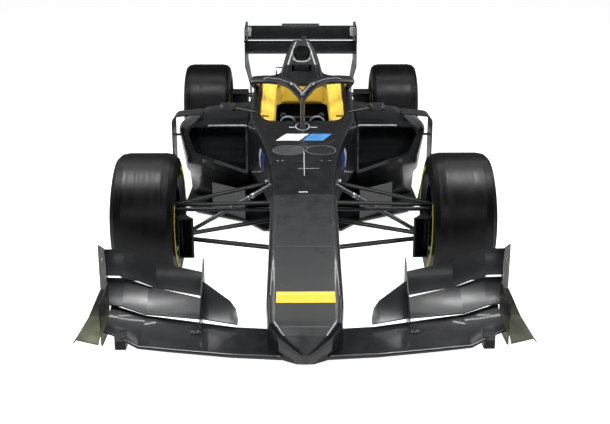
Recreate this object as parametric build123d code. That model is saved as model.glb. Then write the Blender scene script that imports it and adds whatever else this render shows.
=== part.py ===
from build123d import *
import math
import os

# Open wheel racing car: single seater with a head protection hoop over an open cockpit.
# Frame: +Z up, the nose points to -Y, +X is the car's left side. Millimetres.
# The origin lies on the ground, halfway along the car and on its centre line.
# A "station" is a distance behind the front axle at the standard length; y_at() turns it into a Y.

# Driving dimensions of the whole car
STANDARD_LENGTH = 5224.0
LENGTH = STANDARD_LENGTH
STRETCH = LENGTH / STANDARD_LENGTH
WIDTH = 1900.0
WHEELBASE = 3135.0
NOSE_OVERHANG = 1289.0
FRONT_AXLE_Y = NOSE_OVERHANG * STRETCH - LENGTH / 2
TAIL = STANDARD_LENGTH - NOSE_OVERHANG

# Underside
PLANK_BOTTOM = 30.0
PLANK_THICKNESS = 10.0
PLANK_HALF_WIDTH = 150.0
FLOOR_THICKNESS = 12.0
FLOOR_BOTTOM = PLANK_BOTTOM + PLANK_THICKNESS
FLOOR_TOP = FLOOR_BOTTOM + FLOOR_THICKNESS
FLOOR_HALF_WIDTH = 750.0
FLOOR_REAR_HALF_WIDTH = 520.0
DIFFUSER_START = 3050.0
DIFFUSER_END = 3500.0
DIFFUSER_RISE = 125.0

# Wheels and tyres
TYRE_RADIUS = 330.0
RIM_RADIUS = 165.0
RIM_FLANGE = 14.0
RIM_WALL = 6.0
FRONT_TYRE_WIDTH = 315.0
REAR_TYRE_WIDTH = 365.0
REAR_TYRE_OUTSET = 940.0
SPINDLE_RADIUS = 30.0
RUNNING_CLEARANCE = 0.3
SPOKES = 10
SPOKE_WIDTH = 14.0
SEAT_GAP = 0.3

# Front suspension: ball joints on a vertical steering axis
STEER_AXIS_X = 690.0
UPPER_BALL_Z = 392.0
LOWER_BALL_Z = 222.0
BALL_RADIUS = 14.0
ARM_CHORD = 34.0
ARM_THICKNESS = 14.0
STEERING_ARM = 105.0
RACK_Z = 402.0
RACK_RADIUS = 10.0

# Rear wing
WING_HALF_SPAN = 475.0
FLAP_SIDE_GAP = 6.0
FLAP_PIVOT = (3868.0, 893.0)

REAR_PLATE_THICKNESS = 7.0
TAB_HALF_WIDTH = 165.0
PYLON_X = 62.0
PYLON_THICKNESS = 8.0

# Front wing
ENDPLATE_X = 839.0
FRONT_PLATE_THICKNESS = 6.0
FENCE_X = 445.0
FENCE_THICKNESS = 5.0

# Walls of hollow bodywork
PANEL = 8.0
STRAKE = 6.0

# Engine, gearbox and tail
AIRBOX_TOP = 1004.0
INLET_Z = 932.0
INLET_WIDTH = 108.0
INLET_HEIGHT = 88.0
INLET_DEPTH = 205.0
REAR_BULKHEAD = 1930.0
ENGINE_END = 2480.0
ENGINE_TOP = 480.0
ENGINE_WIDTH = 520.0
GEARBOX_END = 3290.0
COVER_END = 3290.0
LIGHT_DEPTH = 18.0
STARTER_RADIUS = 12.0
STARTER_DEPTH = 60.0
STARTER_Z = 290.0
EXHAUST_RADIUS = 46.0
HALO_TUBE = 26.0
VANE_FRONT = 1060.0
VANE_CHORD = 180.0

# Steering wheel and its column, which dips towards the front
STEERING_WHEEL_CENTRE = (960.0, 606.0)
COLUMN_TILT = 20.0
COLUMN_RADIUS = 14.0
COLUMN_LENGTH = 300.0

# Uprights, hubs and brake drums
FRONT_OUTER = WIDTH / 2
FRONT_INNER = FRONT_OUTER - FRONT_TYRE_WIDTH
REAR_OUTER = REAR_TYRE_OUTSET
REAR_INNER = REAR_OUTER - REAR_TYRE_WIDTH
UPRIGHT_FACE = STEER_AXIS_X + 30.0
REAR_UPRIGHT_X = REAR_INNER + 60.0
HUB_RADIUS = 52.0
DRUM_RADIUS = 132.0
DRUM_WALL = 4.0
SCOOP_BOTTOM = 172.0
SCOOP_TOP = 380.0
SCOOP_INNER = 548.0
KINGPIN_RADIUS = 24.0
PUSHROD_RADIUS = 11.0
PIN_LENGTH = 18.0
SHAFT_RADIUS = 18.0
DRIVE_BOSS_RADIUS = 44.0
DRIVE_BOSS_X = 125.0
RACK_STATION = -STEERING_ARM
RACK_TUNNEL_RADIUS = 18.0
SUSPENSION_SLOT = 28.0
REAR_UPPER_Z = 425.0
REAR_LOWER_Z = 262.0
REAR_ARM_SEAT = 10.0

# Feet of the suspension arms on the body, +X side. Columns: x, station, z; they are cut off at its skin.
UPPER_FEET = [(130, -140, 448), (140, 270, 448)]
LOWER_FEET = [(110, -262, 246), (140, 260, 238)]
REAR_FEET = {
    "upper_front": (100, 2850, 420),
    "upper_rear": (60, 3225, 400),
    "lower_front": (100, 2820, 240),
    "lower_rear": (60, 3230, 285),
}


def y_at(station):
    return FRONT_AXLE_Y + station * STRETCH


def at(x, station, z):
    return Vector(x, y_at(station), z)


def mirrored(shape):
    return mirror(shape, about=Plane.YZ)


def closed_face(points, radii=0.0):
    """A flat face round points, with each corner rounded by its own radius, or by none."""
    if not radii:
        return make_face(Polyline(*points, close=True))
    return make_face(FilletPolyline(*points, radius=radii, close=True))


def hull_section(row):
    """One cross section of a symmetric body. Columns: station, then (x, z, corner radius) from the top edge down."""
    station, corners = row[0], row[1:]
    right = [(at(x, station, z), r) for x, z, r in corners]
    left = [(at(-x, station, z), r) for x, z, r in reversed(corners)]
    ring = right + left
    return closed_face([p for p, _ in ring], [r for _, r in ring])


def hull(rows, ruled=False):
    return loft([hull_section(row) for row in rows], ruled=ruled)


def prism_x(points, x0, x1, radii=0.0):
    """Extrudes a side outline of (station, z) points from x0 to x1."""
    radii = [radii] * len(points) if radii and isinstance(radii, float) else radii
    face = closed_face([at(x0, s, z) for s, z in points], radii)
    return extrude(face, amount=x1 - x0, dir=(1, 0, 0))


def prism_z(points, z0, z1, radii=0.0):
    """Extrudes a plan outline of (x, station) points from z0 to z1."""
    radii = [radii] * len(points) if radii and isinstance(radii, float) else radii
    face = closed_face([at(x, s, z0) for x, s in points], radii)
    return extrude(face, amount=z1 - z0, dir=(0, 0, 1))


def bar(start, end, radius):
    """A round bar between two points."""
    along = end - start
    return Solid.make_cylinder(radius, along.length, Plane(origin=start, z_dir=along))


def blade(start, end, chord, thickness, up=(0, 0, 1)):
    """A streamlined bar: an oblong section whose chord lies across up, drawn between two points."""
    along = (end - start).normalized()
    chord_dir = Vector(*up).cross(along).normalized()
    plane = Plane(origin=start, x_dir=chord_dir, z_dir=along)
    section = plane * SlotOverall(chord, thickness)
    return extrude(section, amount=(end - start).length, dir=along)


def x_cylinder(radius, x0, x1, station, z):
    low = min(x0, x1)
    return Solid.make_cylinder(
        radius, abs(x1 - x0), Plane(origin=at(low, station, z), z_dir=(1, 0, 0))
    )


def aerofoil(x, le, te, thickness, camber, tail=3.0):
    """A wing section at x: arcs for nose, upper and lower skin. le and te are (station, z); the hollow side faces up."""
    lead, trail = at(x, *le), at(x, *te)
    chord = trail - lead
    along = chord.normalized()
    normal = Vector(0, -along.Z, along.Y)
    nose = thickness * 0.42
    top0 = lead + along * nose + normal * nose
    low0 = lead + along * nose - normal * nose
    middle = lead + chord * 0.45 - normal * camber
    top1 = middle + normal * thickness / 2
    low1 = middle - normal * thickness / 2
    top2 = trail + normal * tail / 2
    low2 = trail - normal * tail / 2
    edges = [
        ThreePointArc(low0, lead, top0),
        ThreePointArc(top0, top1, top2),
        Line(top2, low2),
        ThreePointArc(low2, low1, low0),
    ]
    return make_face(edges)


def wing(rows, ruled=True):
    """A lofted wing. Columns: x, leading edge (station, z), trailing edge (station, z), thickness, camber."""
    return loft([aerofoil(*row) for row in rows], ruled=ruled)


# Nose cone and survival cell share the section at the front bulkhead.
# Columns: station, then (x, z, corner radius): top edge, upper flank, lower flank, keel.
NOSE_WIDTH = 160.0
FRONT_BULKHEAD = (-250, (NOSE_WIDTH + 2, 520, 34), (NOSE_WIDTH + 4, 440, 50), (158, 310, 50), (128, 218, 30))
NOSE_ROWS = [
    (-NOSE_OVERHANG, (10, 158, 4), (14, 146, 3), (14, 132, 3), (10, 118, 4)),
    (-1262, (44, 178, 14), (52, 155, 8), (52, 130, 8), (40, 106, 10)),
    (-1215, (98, 210, 22), (108, 175, 12), (107, 140, 12), (96, 100, 14)),
    (-1150, (148, 244, 30), (154, 195, 18), (153, 145, 18), (146, 98, 16)),
    (-1000, (NOSE_WIDTH, 300, 34), (NOSE_WIDTH + 4, 240, 24), (NOSE_WIDTH + 2, 170, 24), (150, 98, 20)),
    (-620, (NOSE_WIDTH, 413, 34), (NOSE_WIDTH + 3, 350, 36), (NOSE_WIDTH - 2, 230, 36), (135, 150, 30)),
    FRONT_BULKHEAD,
]
NOSE_TIP_ROWS = 5
TUB_FLANK = 335.0
POD_FRONT = 985.0
TUB_FRONT_ROWS = [
    FRONT_BULKHEAD,
    (150, (172, 566, 34), (184, 470, 50), (176, 300, 50), (138, 190, 30)),
    (535, (221, 616, 36), (240, 510, 50), (228, 320, 50), (165, 148, 30)),
    (POD_FRONT, (300, 660, 38), (TUB_FLANK, 600, 30), (TUB_FLANK, 330, 60), (200, 72, 30)),
]
TUB_REAR_ROWS = [
    TUB_FRONT_ROWS[-1],
    (1450, (314, 730, 40), (TUB_FLANK, 660, 30), (TUB_FLANK, 200, 60), (250, FLOOR_TOP, 30)),
    (REAR_BULKHEAD, (306, 754, 50), (TUB_FLANK, 640, 40), (TUB_FLANK, 200, 60), (250, FLOOR_TOP, 30)),
]


def nose_cone():
    """Nose cone with its pointed tip."""
    tip = hull(NOSE_ROWS[:NOSE_TIP_ROWS], ruled=True)
    return tip + hull(NOSE_ROWS[NOSE_TIP_ROWS - 1 :])


COCKPIT_FRONT = 880.0
COCKPIT_REAR = 1680.0
COCKPIT_HALF_WIDTH = 262.0
COCKPIT_FRONT_HALF = 212.0
PAD_FRONT = 965.0
FOOTWELL_FRONT = -100.0
SEAT_FLOOR = FLOOR_TOP + 40.0


def cockpit_cut():
    """The open cockpit, the seat well under it and the footwell ahead of it."""
    opening = prism_z(
        [
            (-COCKPIT_FRONT_HALF, COCKPIT_FRONT),
            (COCKPIT_FRONT_HALF, COCKPIT_FRONT),
            (COCKPIT_HALF_WIDTH, COCKPIT_FRONT + 160),
            (COCKPIT_HALF_WIDTH, COCKPIT_REAR),
            (-COCKPIT_HALF_WIDTH, COCKPIT_REAR),
            (-COCKPIT_HALF_WIDTH, COCKPIT_FRONT + 160),
        ],
        330,
        900,
        [60.0, 60.0, 60.0, 40.0, 40.0, 60.0],
    )
    well = prism_x(
        [
            (FOOTWELL_FRONT, 300),
            (FOOTWELL_FRONT, 490),
            (COCKPIT_FRONT + 60, 625),
            (COCKPIT_REAR, 625),
            (COCKPIT_REAR - 120, SEAT_FLOOR),
            (1150, SEAT_FLOOR),
        ],
        -125,
        125,
    )
    lap = prism_x(
        [(1000, 300), (1000, 480), (COCKPIT_REAR, 480), (COCKPIT_REAR - 90, 190), (1100, 190)],
        -195,
        195,
    )
    return opening + well + lap


def survival_cell():
    """Monocoque with the open cockpit, the footwell and the tunnel of the steering rack."""
    tub = hull(TUB_FRONT_ROWS) + hull(TUB_REAR_ROWS, ruled=True)
    tunnel = x_cylinder(RACK_TUNNEL_RADIUS, -400, 400, RACK_STATION, RACK_Z)
    return tub - cockpit_cut() - tunnel


def tub_top(station):
    """Height of the flat top of the tub behind the cockpit."""
    (start, edge, *_), (end, rear_edge, *_) = TUB_REAR_ROWS[1:]
    return edge[1] + (rear_edge[1] - edge[1]) * (station - start) / (end - start)


def roll_hoop():
    """The air box over the driver's head, seated on the tub: main inlet, and the oil cooler's slot below it."""
    # Columns: height, half width, front station, corner radius
    rows = [
        (720, 160, 1690, 40),
        (860, 122, 1745, 40),
        (950, 90, 1800, 38),
        (AIRBOX_TOP, 56, 1830, 26),
    ]
    sections = []
    for z, half, front, radius in rows:
        corners = [(-half, front), (half, front), (half, REAR_BULKHEAD), (-half, REAR_BULKHEAD)]
        face = closed_face([at(x, s, z) for x, s in corners], [radius, radius, 4.0, 4.0])
        sections.append(face)
    body = loft(sections, ruled=True)
    mouth = Plane(origin=at(0, 1700, INLET_Z), x_dir=(1, 0, 0), z_dir=(0, -1, 0))
    inlet = extrude(mouth * RectangleRounded(INLET_WIDTH, INLET_HEIGHT, INLET_HEIGHT * 0.46), amount=-INLET_DEPTH)
    slot = prism_z([(-74, 1600), (74, 1600), (60, 1850), (-60, 1850)], 818, 862, 10.0)
    below = prism_x([(1600, 600), (2000, 600), (2000, tub_top(2000)), (1600, tub_top(1600))], -400, 400)
    return body - inlet - slot - below


# Engine cover, a shell open underneath. Columns: station, then (x, z, corner radius) from the crest down to the hem.
COVER_HEM = 6.0
COVER_ROWS = [
    (
        REAR_BULKHEAD,
        (56, AIRBOX_TOP, 26),
        (150, 768, 40),
        (300, 750, 50),
        (TUB_FLANK, 640, 40),
        (TUB_FLANK, 520, COVER_HEM),
    ),
    (2350, (40, 930, 20), (90, 745, 50), (280, 610, 50), (318, 530, 40), (318, 440, COVER_HEM)),
    (2850, (22, 800, 12), (76, 630, 40), (180, 490, 40), (215, 430, 20), (215, 376, COVER_HEM)),
    (COVER_END, (18, 650, 8), (62, 560, 16), (108, 475, 20), (122, 440, 10), (122, 404, COVER_HEM)),
]


def hollow_rows(rows, wall):
    """The same sections drawn in by a wall and carried below the hem, so that the cut is open underneath."""
    inner = []
    for station, *corners in rows:
        drawn_in = [(x - wall, z - wall, max(r - wall, 1.0)) for x, z, r in corners[:-1]]
        x, z, r = corners[-1]
        inner.append((station, *drawn_in, (x - wall, z - 80, r)))
    return inner


def largest(shape):
    """The main solid of a cut shape, without the scraps that the cut leaves beyond it."""
    return max(shape.solids(), key=lambda solid: solid.volume)


def engine_cover():
    """Shell over the engine, with slots for the rear suspension."""
    shell = hull(COVER_ROWS, ruled=True) - hull(hollow_rows(COVER_ROWS, PANEL), ruled=True)
    for side in (1, -1):
        for name in ("upper_front", "upper_rear"):
            x, station, z = REAR_FEET[name]
            start = at((REAR_UPRIGHT_X + REAR_ARM_SEAT) * side, WHEELBASE, REAR_UPPER_Z)
            shell -= bar(start, at(x * side, station, z), SUSPENSION_SLOT)
        start, end = rear_pushrod_ends(side)
        shell -= bar(start, end, SUSPENSION_SLOT)
    return largest(shell)


# Side pod on the +X side. Columns: station, then (x, z, corner radius) round the section from the inner top.
POD_ROWS = [
    (
        POD_FRONT,
        (200, 606, 2),
        (690, 606, 26),
        (714, 560, 30),
        (676, 420, 34),
        (360, 306, 20),
        (200, 294, 2),
    ),
    (
        1130,
        (200, 636, 2),
        (640, 622, 60),
        (764, 560, 40),
        (722, 330, 50),
        (420, 170, 30),
        (200, 160, 2),
    ),
    (
        1450,
        (200, 662, 2),
        (600, 634, 100),
        (788, 540, 60),
        (744, 200, 50),
        (730, FLOOR_TOP, 10),
        (200, FLOOR_TOP, 2),
    ),
    (
        2000,
        (200, 580, 2),
        (600, 540, 90),
        (742, 440, 60),
        (700, 200, 50),
        (676, FLOOR_TOP, 10),
        (200, FLOOR_TOP, 2),
    ),
    (
        2450,
        (200, 500, 2),
        (440, 470, 50),
        (540, 360, 50),
        (536, 200, 30),
        (520, FLOOR_TOP, 10),
        (200, FLOOR_TOP, 2),
    ),
    (
        2780,
        (200, 412, 2),
        (320, 392, 14),
        (350, 320, 20),
        (350, 200, 14),
        (346, FLOOR_TOP, 6),
        (200, FLOOR_TOP, 2),
    ),
]
POD_SHOULDER_ROW = 2
DUCT_END = 1500.0
DUCT_INNER = 346.0
DUCT_ROWS = [
    (
        980,
        (DUCT_INNER, 592, 12),
        (676, 592, 22),
        (694, 556, 22),
        (656, 438, 24),
        (372, 332, 14),
        (DUCT_INNER, 325, 8),
    ),
    (
        DUCT_END,
        (DUCT_INNER, 570, 12),
        (640, 570, 22),
        (700, 520, 22),
        (660, 300, 24),
        (400, 240, 14),
        (DUCT_INNER, 235, 8),
    ),
]


def ring_section(row):
    """One closed section from a row of station and (x, z, corner radius)."""
    station, *corners = row
    return closed_face([at(x, station, z) for x, z, _ in corners], [r for _, _, r in corners])


def ring_loft(rows, ruled=False):
    return loft([ring_section(row) for row in rows], ruled=ruled)


def side_pod():
    """Side pod with its inlet duct. Its inner face follows the flanks of the cell and the cover."""
    front = ring_loft(POD_ROWS[: POD_SHOULDER_ROW + 1])
    rear = ring_loft(POD_ROWS[POD_SHOULDER_ROW:])
    flank = [(row[-1][0], row[0]) for row in COVER_ROWS]
    inside = [(0, POD_FRONT - 50), (TUB_FLANK, POD_FRONT - 50), *flank, (0, COVER_END)]
    return front + rear - ring_loft(DUCT_ROWS, ruled=True) - prism_z(inside, 0, 1200)


RADIATOR_GAP = 0.3
RADIATOR_DEPTH = 60.0


def radiator():
    """The cooler core that closes the end of the inlet duct, a hair inside its walls."""
    front, rear = DUCT_END - RADIATOR_DEPTH, DUCT_END - RADIATOR_GAP
    box = prism_z([(DUCT_INNER - 10, front), (720, front), (720, rear), (DUCT_INNER - 10, rear)], 200, 620)
    shrunk = []
    for station, *corners in DUCT_ROWS:
        middle = (DUCT_INNER + corners[2][0]) / 2
        row = []
        for x, z, r in corners:
            inward = RADIATOR_GAP if x < middle else -RADIATOR_GAP
            upward = RADIATOR_GAP if z < 450 else -RADIATOR_GAP
            row.append((x + inward, z + upward, r))
        shrunk.append((station, *row))
    return box & ring_loft(shrunk, ruled=True)


# Floor. Columns: x, station.
FLOOR_OUTLINE = [
    (231, 642),
    (337, 807),
    (661, 1022),
    (FLOOR_HALF_WIDTH, 1211),
    (FLOOR_HALF_WIDTH, 2560),
    (FLOOR_REAR_HALF_WIDTH, 2760),
    (FLOOR_REAR_HALF_WIDTH, DIFFUSER_START),
]
SPLITTER = FLOOR_OUTLINE[0][1]


def floor_panel():
    ring = FLOOR_OUTLINE + [(-x, s) for x, s in reversed(FLOOR_OUTLINE)]
    return prism_z(ring, FLOOR_BOTTOM, FLOOR_TOP)


def plank():
    half = PLANK_HALF_WIDTH
    outline = [(-half, SPLITTER), (half, SPLITTER), (half, DIFFUSER_START), (-half, DIFFUSER_START)]
    return prism_z(outline, PLANK_BOTTOM, FLOOR_BOTTOM, [40.0, 40.0, 2.0, 2.0])


def diffuser():
    """The rising tail of the floor with its side walls and strakes."""
    start, end, rise = DIFFUSER_START, DIFFUSER_END, DIFFUSER_RISE
    half = FLOOR_REAR_HALF_WIDTH - 20
    roof_outline = [(start, FLOOR_BOTTOM), (start, FLOOR_TOP), (end, FLOOR_TOP + rise), (end, FLOOR_BOTTOM + rise)]
    body = prism_x(roof_outline, -half, half)
    wall = [(start + 20, FLOOR_BOTTOM), (end, FLOOR_BOTTOM), (end, FLOOR_BOTTOM + rise + 6), (start + 20, FLOOR_TOP)]
    for share in (-1.0, -0.66, -0.33, 0.33, 0.66, 1.0):
        middle = share * (half - STRAKE / 2)
        body += prism_x(wall, middle - STRAKE / 2, middle + STRAKE / 2)
    return body


def engine_block():
    length = ENGINE_END - REAR_BULKHEAD
    middle = at(0, REAR_BULKHEAD + length / 2, (FLOOR_TOP + ENGINE_TOP) / 2)
    return Pos(*middle) * Box(ENGINE_WIDTH, length, ENGINE_TOP - FLOOR_TOP)


def gearbox():
    """Bell housing and gearbox casing with the bosses of the drive shafts and a socket for the starter."""
    rows = [
        (ENGINE_END, (190, 470, 40), (230, 300, 40), (200, 90, 30)),
        (2800, (120, 440, 40), (150, 300, 40), (130, 110, 30)),
        (WHEELBASE, (92, 430, 30), (105, 300, 30), (95, 190, 30)),
        (GEARBOX_END, (82, 420, 24), (90, 320, 24), (80, 250, 24)),
    ]
    casing = hull(rows)
    bosses = x_cylinder(DRIVE_BOSS_RADIUS, -DRIVE_BOSS_X, DRIVE_BOSS_X, WHEELBASE, TYRE_RADIUS)
    return casing + bosses


def crash_structure():
    """Tapered box behind the gearbox, with the starter socket in its end under the rain light."""
    rows = [
        (GEARBOX_END, (80, 415, 20), (88, 330, 20), (76, 252, 20)),
        (TAIL - LIGHT_DEPTH, (52, 392, 12), (56, 330, 12), (50, 262, 12)),
    ]
    body = hull(rows, ruled=True)
    end = TAIL - LIGHT_DEPTH
    socket = Solid.make_cylinder(
        STARTER_RADIUS, STARTER_DEPTH, Plane(origin=at(0, end - STARTER_DEPTH, STARTER_Z), z_dir=(0, 1, 0))
    )
    return body - socket


def rain_light():
    front, rear = TAIL - LIGHT_DEPTH, TAIL
    return prism_x([(front, 318), (front, 384), (rear, 384), (rear, 318)], -36, 36, [1.0, 1.0, 8.0, 8.0])


def exhaust(casing):
    """Tail pipe between the pylons of the rear wing."""
    start, end = at(0, 3200, 486), at(0, 3440, 500)
    pipe = bar(start, end, EXHAUST_RADIUS)
    foot = Pos(*at(0, 3255, 432)) * Box(40, 50, 40) - casing
    hollow = bar(start, end + (end - start), EXHAUST_RADIUS - 3)
    return pipe + foot - hollow


# Head protection hoop: arm on the +X side from the front joint to the rear foot. Columns: x, station, z.
HALO_ARM = [
    (0, 862, 800),
    (62, 905, 860),
    (130, 1000, 871),
    (215, 1105, 864),
    (295, 1245, 838),
    (314, 1420, 800),
    (300, 1600, 740),
]
HALO_RADII = [45.0, 90.0, 200.0, 160.0, 250.0]


def halo(tub):
    arm_path = FilletPolyline(*[at(*p) for p in HALO_ARM], radius=HALO_RADII)
    arm = sweep(Plane(origin=arm_path @ 0, z_dir=arm_path % 0) * Circle(HALO_TUBE), path=arm_path)
    joint = Pos(*at(*HALO_ARM[0])) * Sphere(HALO_TUBE + 3)
    # Columns: height, width, chord, middle station
    pillar_rows = [
        (625, 40, 116, 762),
        (700, 26, 92, 796),
        (800, 28, 70, 850),
    ]
    sections = [
        Plane(origin=at(0, s, z), x_dir=(1, 0, 0), z_dir=(0, 0, 1)) * Ellipse(width / 2, chord / 2)
        for z, width, chord, s in pillar_rows
    ]
    pillar = loft(sections, ruled=True)
    return arm + mirrored(arm) + joint + pillar - tub


def head_surround():
    """The U shaped pad round the driver's helmet."""
    outer, inner = COCKPIT_HALF_WIDTH - SEAT_GAP, 165.0
    rear = COCKPIT_REAR - SEAT_GAP
    # Columns: x, station, corner radius
    rows = [
        (-outer, PAD_FRONT + 90, 60),
        (-234, PAD_FRONT, 12),
        (-inner, PAD_FRONT, 20),
        (-inner, 1560, 50),
        (inner, 1560, 50),
        (inner, PAD_FRONT, 20),
        (234, PAD_FRONT, 12),
        (outer, PAD_FRONT + 90, 60),
        (outer, rear, 41),
        (-outer, rear, 41),
    ]
    plan = prism_z([(x, s) for x, s, _ in rows], 500, 900, [float(r) for _, _, r in rows])
    side = [(930, 572), (930, 632), (1250, 716), (rear + 5, 780), (rear + 5, 636), (1500, 612)]
    return plan & prism_x(side, -300, 300)


def seat():
    """Moulded seat shell that rests on the floor of the well."""
    outline = [
        (1640, 520),
        (1545, SEAT_FLOOR),
        (1180, SEAT_FLOOR),
        (1165, SEAT_FLOOR + 95),
        (1185, SEAT_FLOOR + 95),
        (1205, SEAT_FLOOR + 22),
        (1520, SEAT_FLOOR + 26),
        (1605, 520),
    ]
    return prism_x(outline, -118, 118)


def column_plane(offset):
    """A plane across the steering column, offset along it from the wheel's face towards the driver."""
    tilt = math.radians(COLUMN_TILT)
    direction = Vector(0, math.cos(tilt), math.sin(tilt))
    origin = at(0, *STEERING_WHEEL_CENTRE) + direction * offset
    return Plane(origin=origin, x_dir=(1, 0, 0), z_dir=direction)


def steering_wheel():
    plane = column_plane(0)
    plate = extrude(plane * RectangleRounded(200, 110, 20), amount=24)
    grip = extrude(plane * Pos(114, 0) * RectangleRounded(36, 150, 17), amount=32)
    screen = extrude(column_plane(24) * RectangleRounded(100, 50, 6), amount=6)
    hub = extrude(column_plane(-40) * Circle(24), amount=40)
    return plate + grip + mirrored(grip) + screen + hub


def steering_column():
    return bar(column_plane(-40).origin, column_plane(-COLUMN_LENGTH).origin, COLUMN_RADIUS)


def column_bracket(tub):
    """Plate across the footwell with the bearing of the column."""
    station, z = 740.0, 540.0
    plate = Pos(*at(0, station, z)) * Box(300, 12, 120)
    bore = bar(column_plane(0).origin, column_plane(-COLUMN_LENGTH - 50).origin, COLUMN_RADIUS + RUNNING_CLEARANCE)
    return plate - bore - tub


# Front wing main plane, +X side. Columns: x, leading edge, trailing edge, thickness, camber.
MAIN_ROWS = [
    (0, (-1240, 114), (-985, 127), 22, 6),
    (300, (-1205, 113), (-948, 128), 22, 8),
    (560, (-1150, 112), (-893, 142), 20, 12),
    (690, (-1120, 112), (-878, 154), 18, 16),
    (800, (-1070, 147), (-876, 192), 14, 16),
    (ENDPLATE_X, (-1060, 157), (-874, 202), 14, 16),
]
FLAP_END = 900.0
LOWER_FLAP_INNER = [
    (287, (-966, 147), (-930, 158), 8, 1),
    (297, (-963, 147), (-893, 190), 8, 5),
    (322, (-957, 148), (-872, 218), 8, 6),
    (FENCE_X - FENCE_THICKNESS / 2, (-925, 155), (-820, 290), 9, 12),
]
LOWER_FLAP_OUTER = [
    (FENCE_X + FENCE_THICKNESS / 2, (-925, 155), (-795, 198), 9, 10),
    (690, (-893, 164), (-764, 246), 9, 12),
    (790, (-890, 200), (-785, 293), 9, 12),
    (FLAP_END, (-890, 214), (-790, 298), 9, 12),
]
UPPER_FLAP = [
    (FENCE_X + FENCE_THICKNESS / 2, (-790, 207), (-728, 297), 8, 8),
    (660, (-765, 238), (-715, 342), 8, 9),
    (755, (-785, 288), (-735, 398), 8, 9),
    (795, (-797, 307), (-743, 412), 8, 9),
    (FLAP_END, (-800, 310), (-745, 414), 8, 9),
]
# Inner face of the endplate in plan: x, station, corner radius
PLATE_PLAN = [(ENDPLATE_X, -1100, 0.5), (ENDPLATE_X, -880, 200.0), (905, -745, 0.5)]


# Block under each end of the main plane
KEEL_CENTRE, KEEL_SIZE = (768, -1062, 126), (46, 46, 76)


def main_plane(nose):
    keel = Pos(*at(*KEEL_CENTRE)) * Box(*KEEL_SIZE)
    half = wing(MAIN_ROWS) + keel - nose
    return half + mirrored(half)


def front_flaps():
    """Two stacked flaps of one side, trimmed to the endplate. The lower one runs on inboard of the fence."""
    beyond = [*PLATE_PLAN[:2], (978.3, -595, 0.5), (1100, -595, 0.5), (1100, -1100, 0.5)]
    outside = prism_z([(x, s) for x, s, _ in beyond], 100, 480, [r for _, _, r in beyond])
    wings = [wing(LOWER_FLAP_INNER), wing(LOWER_FLAP_OUTER) - outside, wing(UPPER_FLAP) - outside]
    return Compound(children=[largest(flap) for flap in wings])


def front_endplate():
    """Outer plate: it stands on its foot, curls outwards at the rear and carries a ramp outside."""
    t = FRONT_PLATE_THICKNESS
    strip = PLATE_PLAN + [(x + t, s, r) for x, s, r in reversed(PLATE_PLAN)]
    curved = prism_z([(x, s) for x, s, _ in strip], 100, 480, [r for _, _, r in strip])
    # Columns: station, z, corner radius
    outline = [
        (-1092, 108, 4),
        (-1092, 297, 12),
        (-1010, 294, 30),
        (-913, 318, 30),
        (-876, 378, 30),
        (-842, 448, 14),
        (-750, 436, 10),
        (-750, 234, 20),
        (-800, 120, 20),
        (-800, 108, 4),
    ]
    panel = curved & prism_x([(s, z) for s, z, _ in outline], 800, 960, [float(r) for _, _, r in outline])
    # Ramp sections. Columns: station, then (x, z) along the top from the plate to the outer edge
    ramp = [
        (-1140, (ENDPLATE_X + t, 140), (892, 152), (934, 163), (WIDTH / 2 - 0.5, 145)),
        (-1000, (ENDPLATE_X + t, 197), (872, 203), (895, 206), (912, 198)),
        (-900, (ENDPLATE_X + t, 283), (855, 286), (866, 287), (876, 285)),
    ]
    faces = []
    for station, *top in ramp:
        chain = top + [(x, z - t) for x, z in reversed(top)]
        faces.append(closed_face([at(x, station, z) for x, z in chain]))
    return panel + loft(faces, ruled=True)


def front_fence(main):
    # Columns: station, z, corner radius
    outline = [
        (-1010, 120, 2),
        (-1005, 160, 20),
        (-905, 260, 20),
        (-800, 335, 20),
        (-765, 378, 1),
        (-752, 330, 10),
        (-760, 215, 10),
        (-880, 120, 10),
    ]
    half = FENCE_THICKNESS / 2
    plate = prism_x(
        [(s, z) for s, z, _ in outline], FENCE_X - half, FENCE_X + half, [float(r) for _, _, r in outline]
    )
    return plate - main


def tyre(width):
    """Slick tyre about the X axis at the origin, inner side at x 0 and outer side at x width."""
    # Columns: x from the inner side, radius; half of the section, from the bead to the tread
    half = [
        (30.0 + SEAT_GAP, RIM_RADIUS),
        (30.0 + SEAT_GAP, RIM_RADIUS + RIM_FLANGE + 3),
        (0, TYRE_RADIUS - 108),
        (0, TYRE_RADIUS - 62),
        (9, TYRE_RADIUS - 25),
        (29, TYRE_RADIUS - 7),
        (64, TYRE_RADIUS),
    ]
    ring = half + [(width - x, r) for x, r in reversed(half)]
    return revolve(closed_face([(x, r, 0) for x, r in ring], 0.0), Axis.X, 360)


def hub_faces(width):
    """Inner and outer face of the hub, from the rim's inner side."""
    return width - 120.0, width - 70.0


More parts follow.
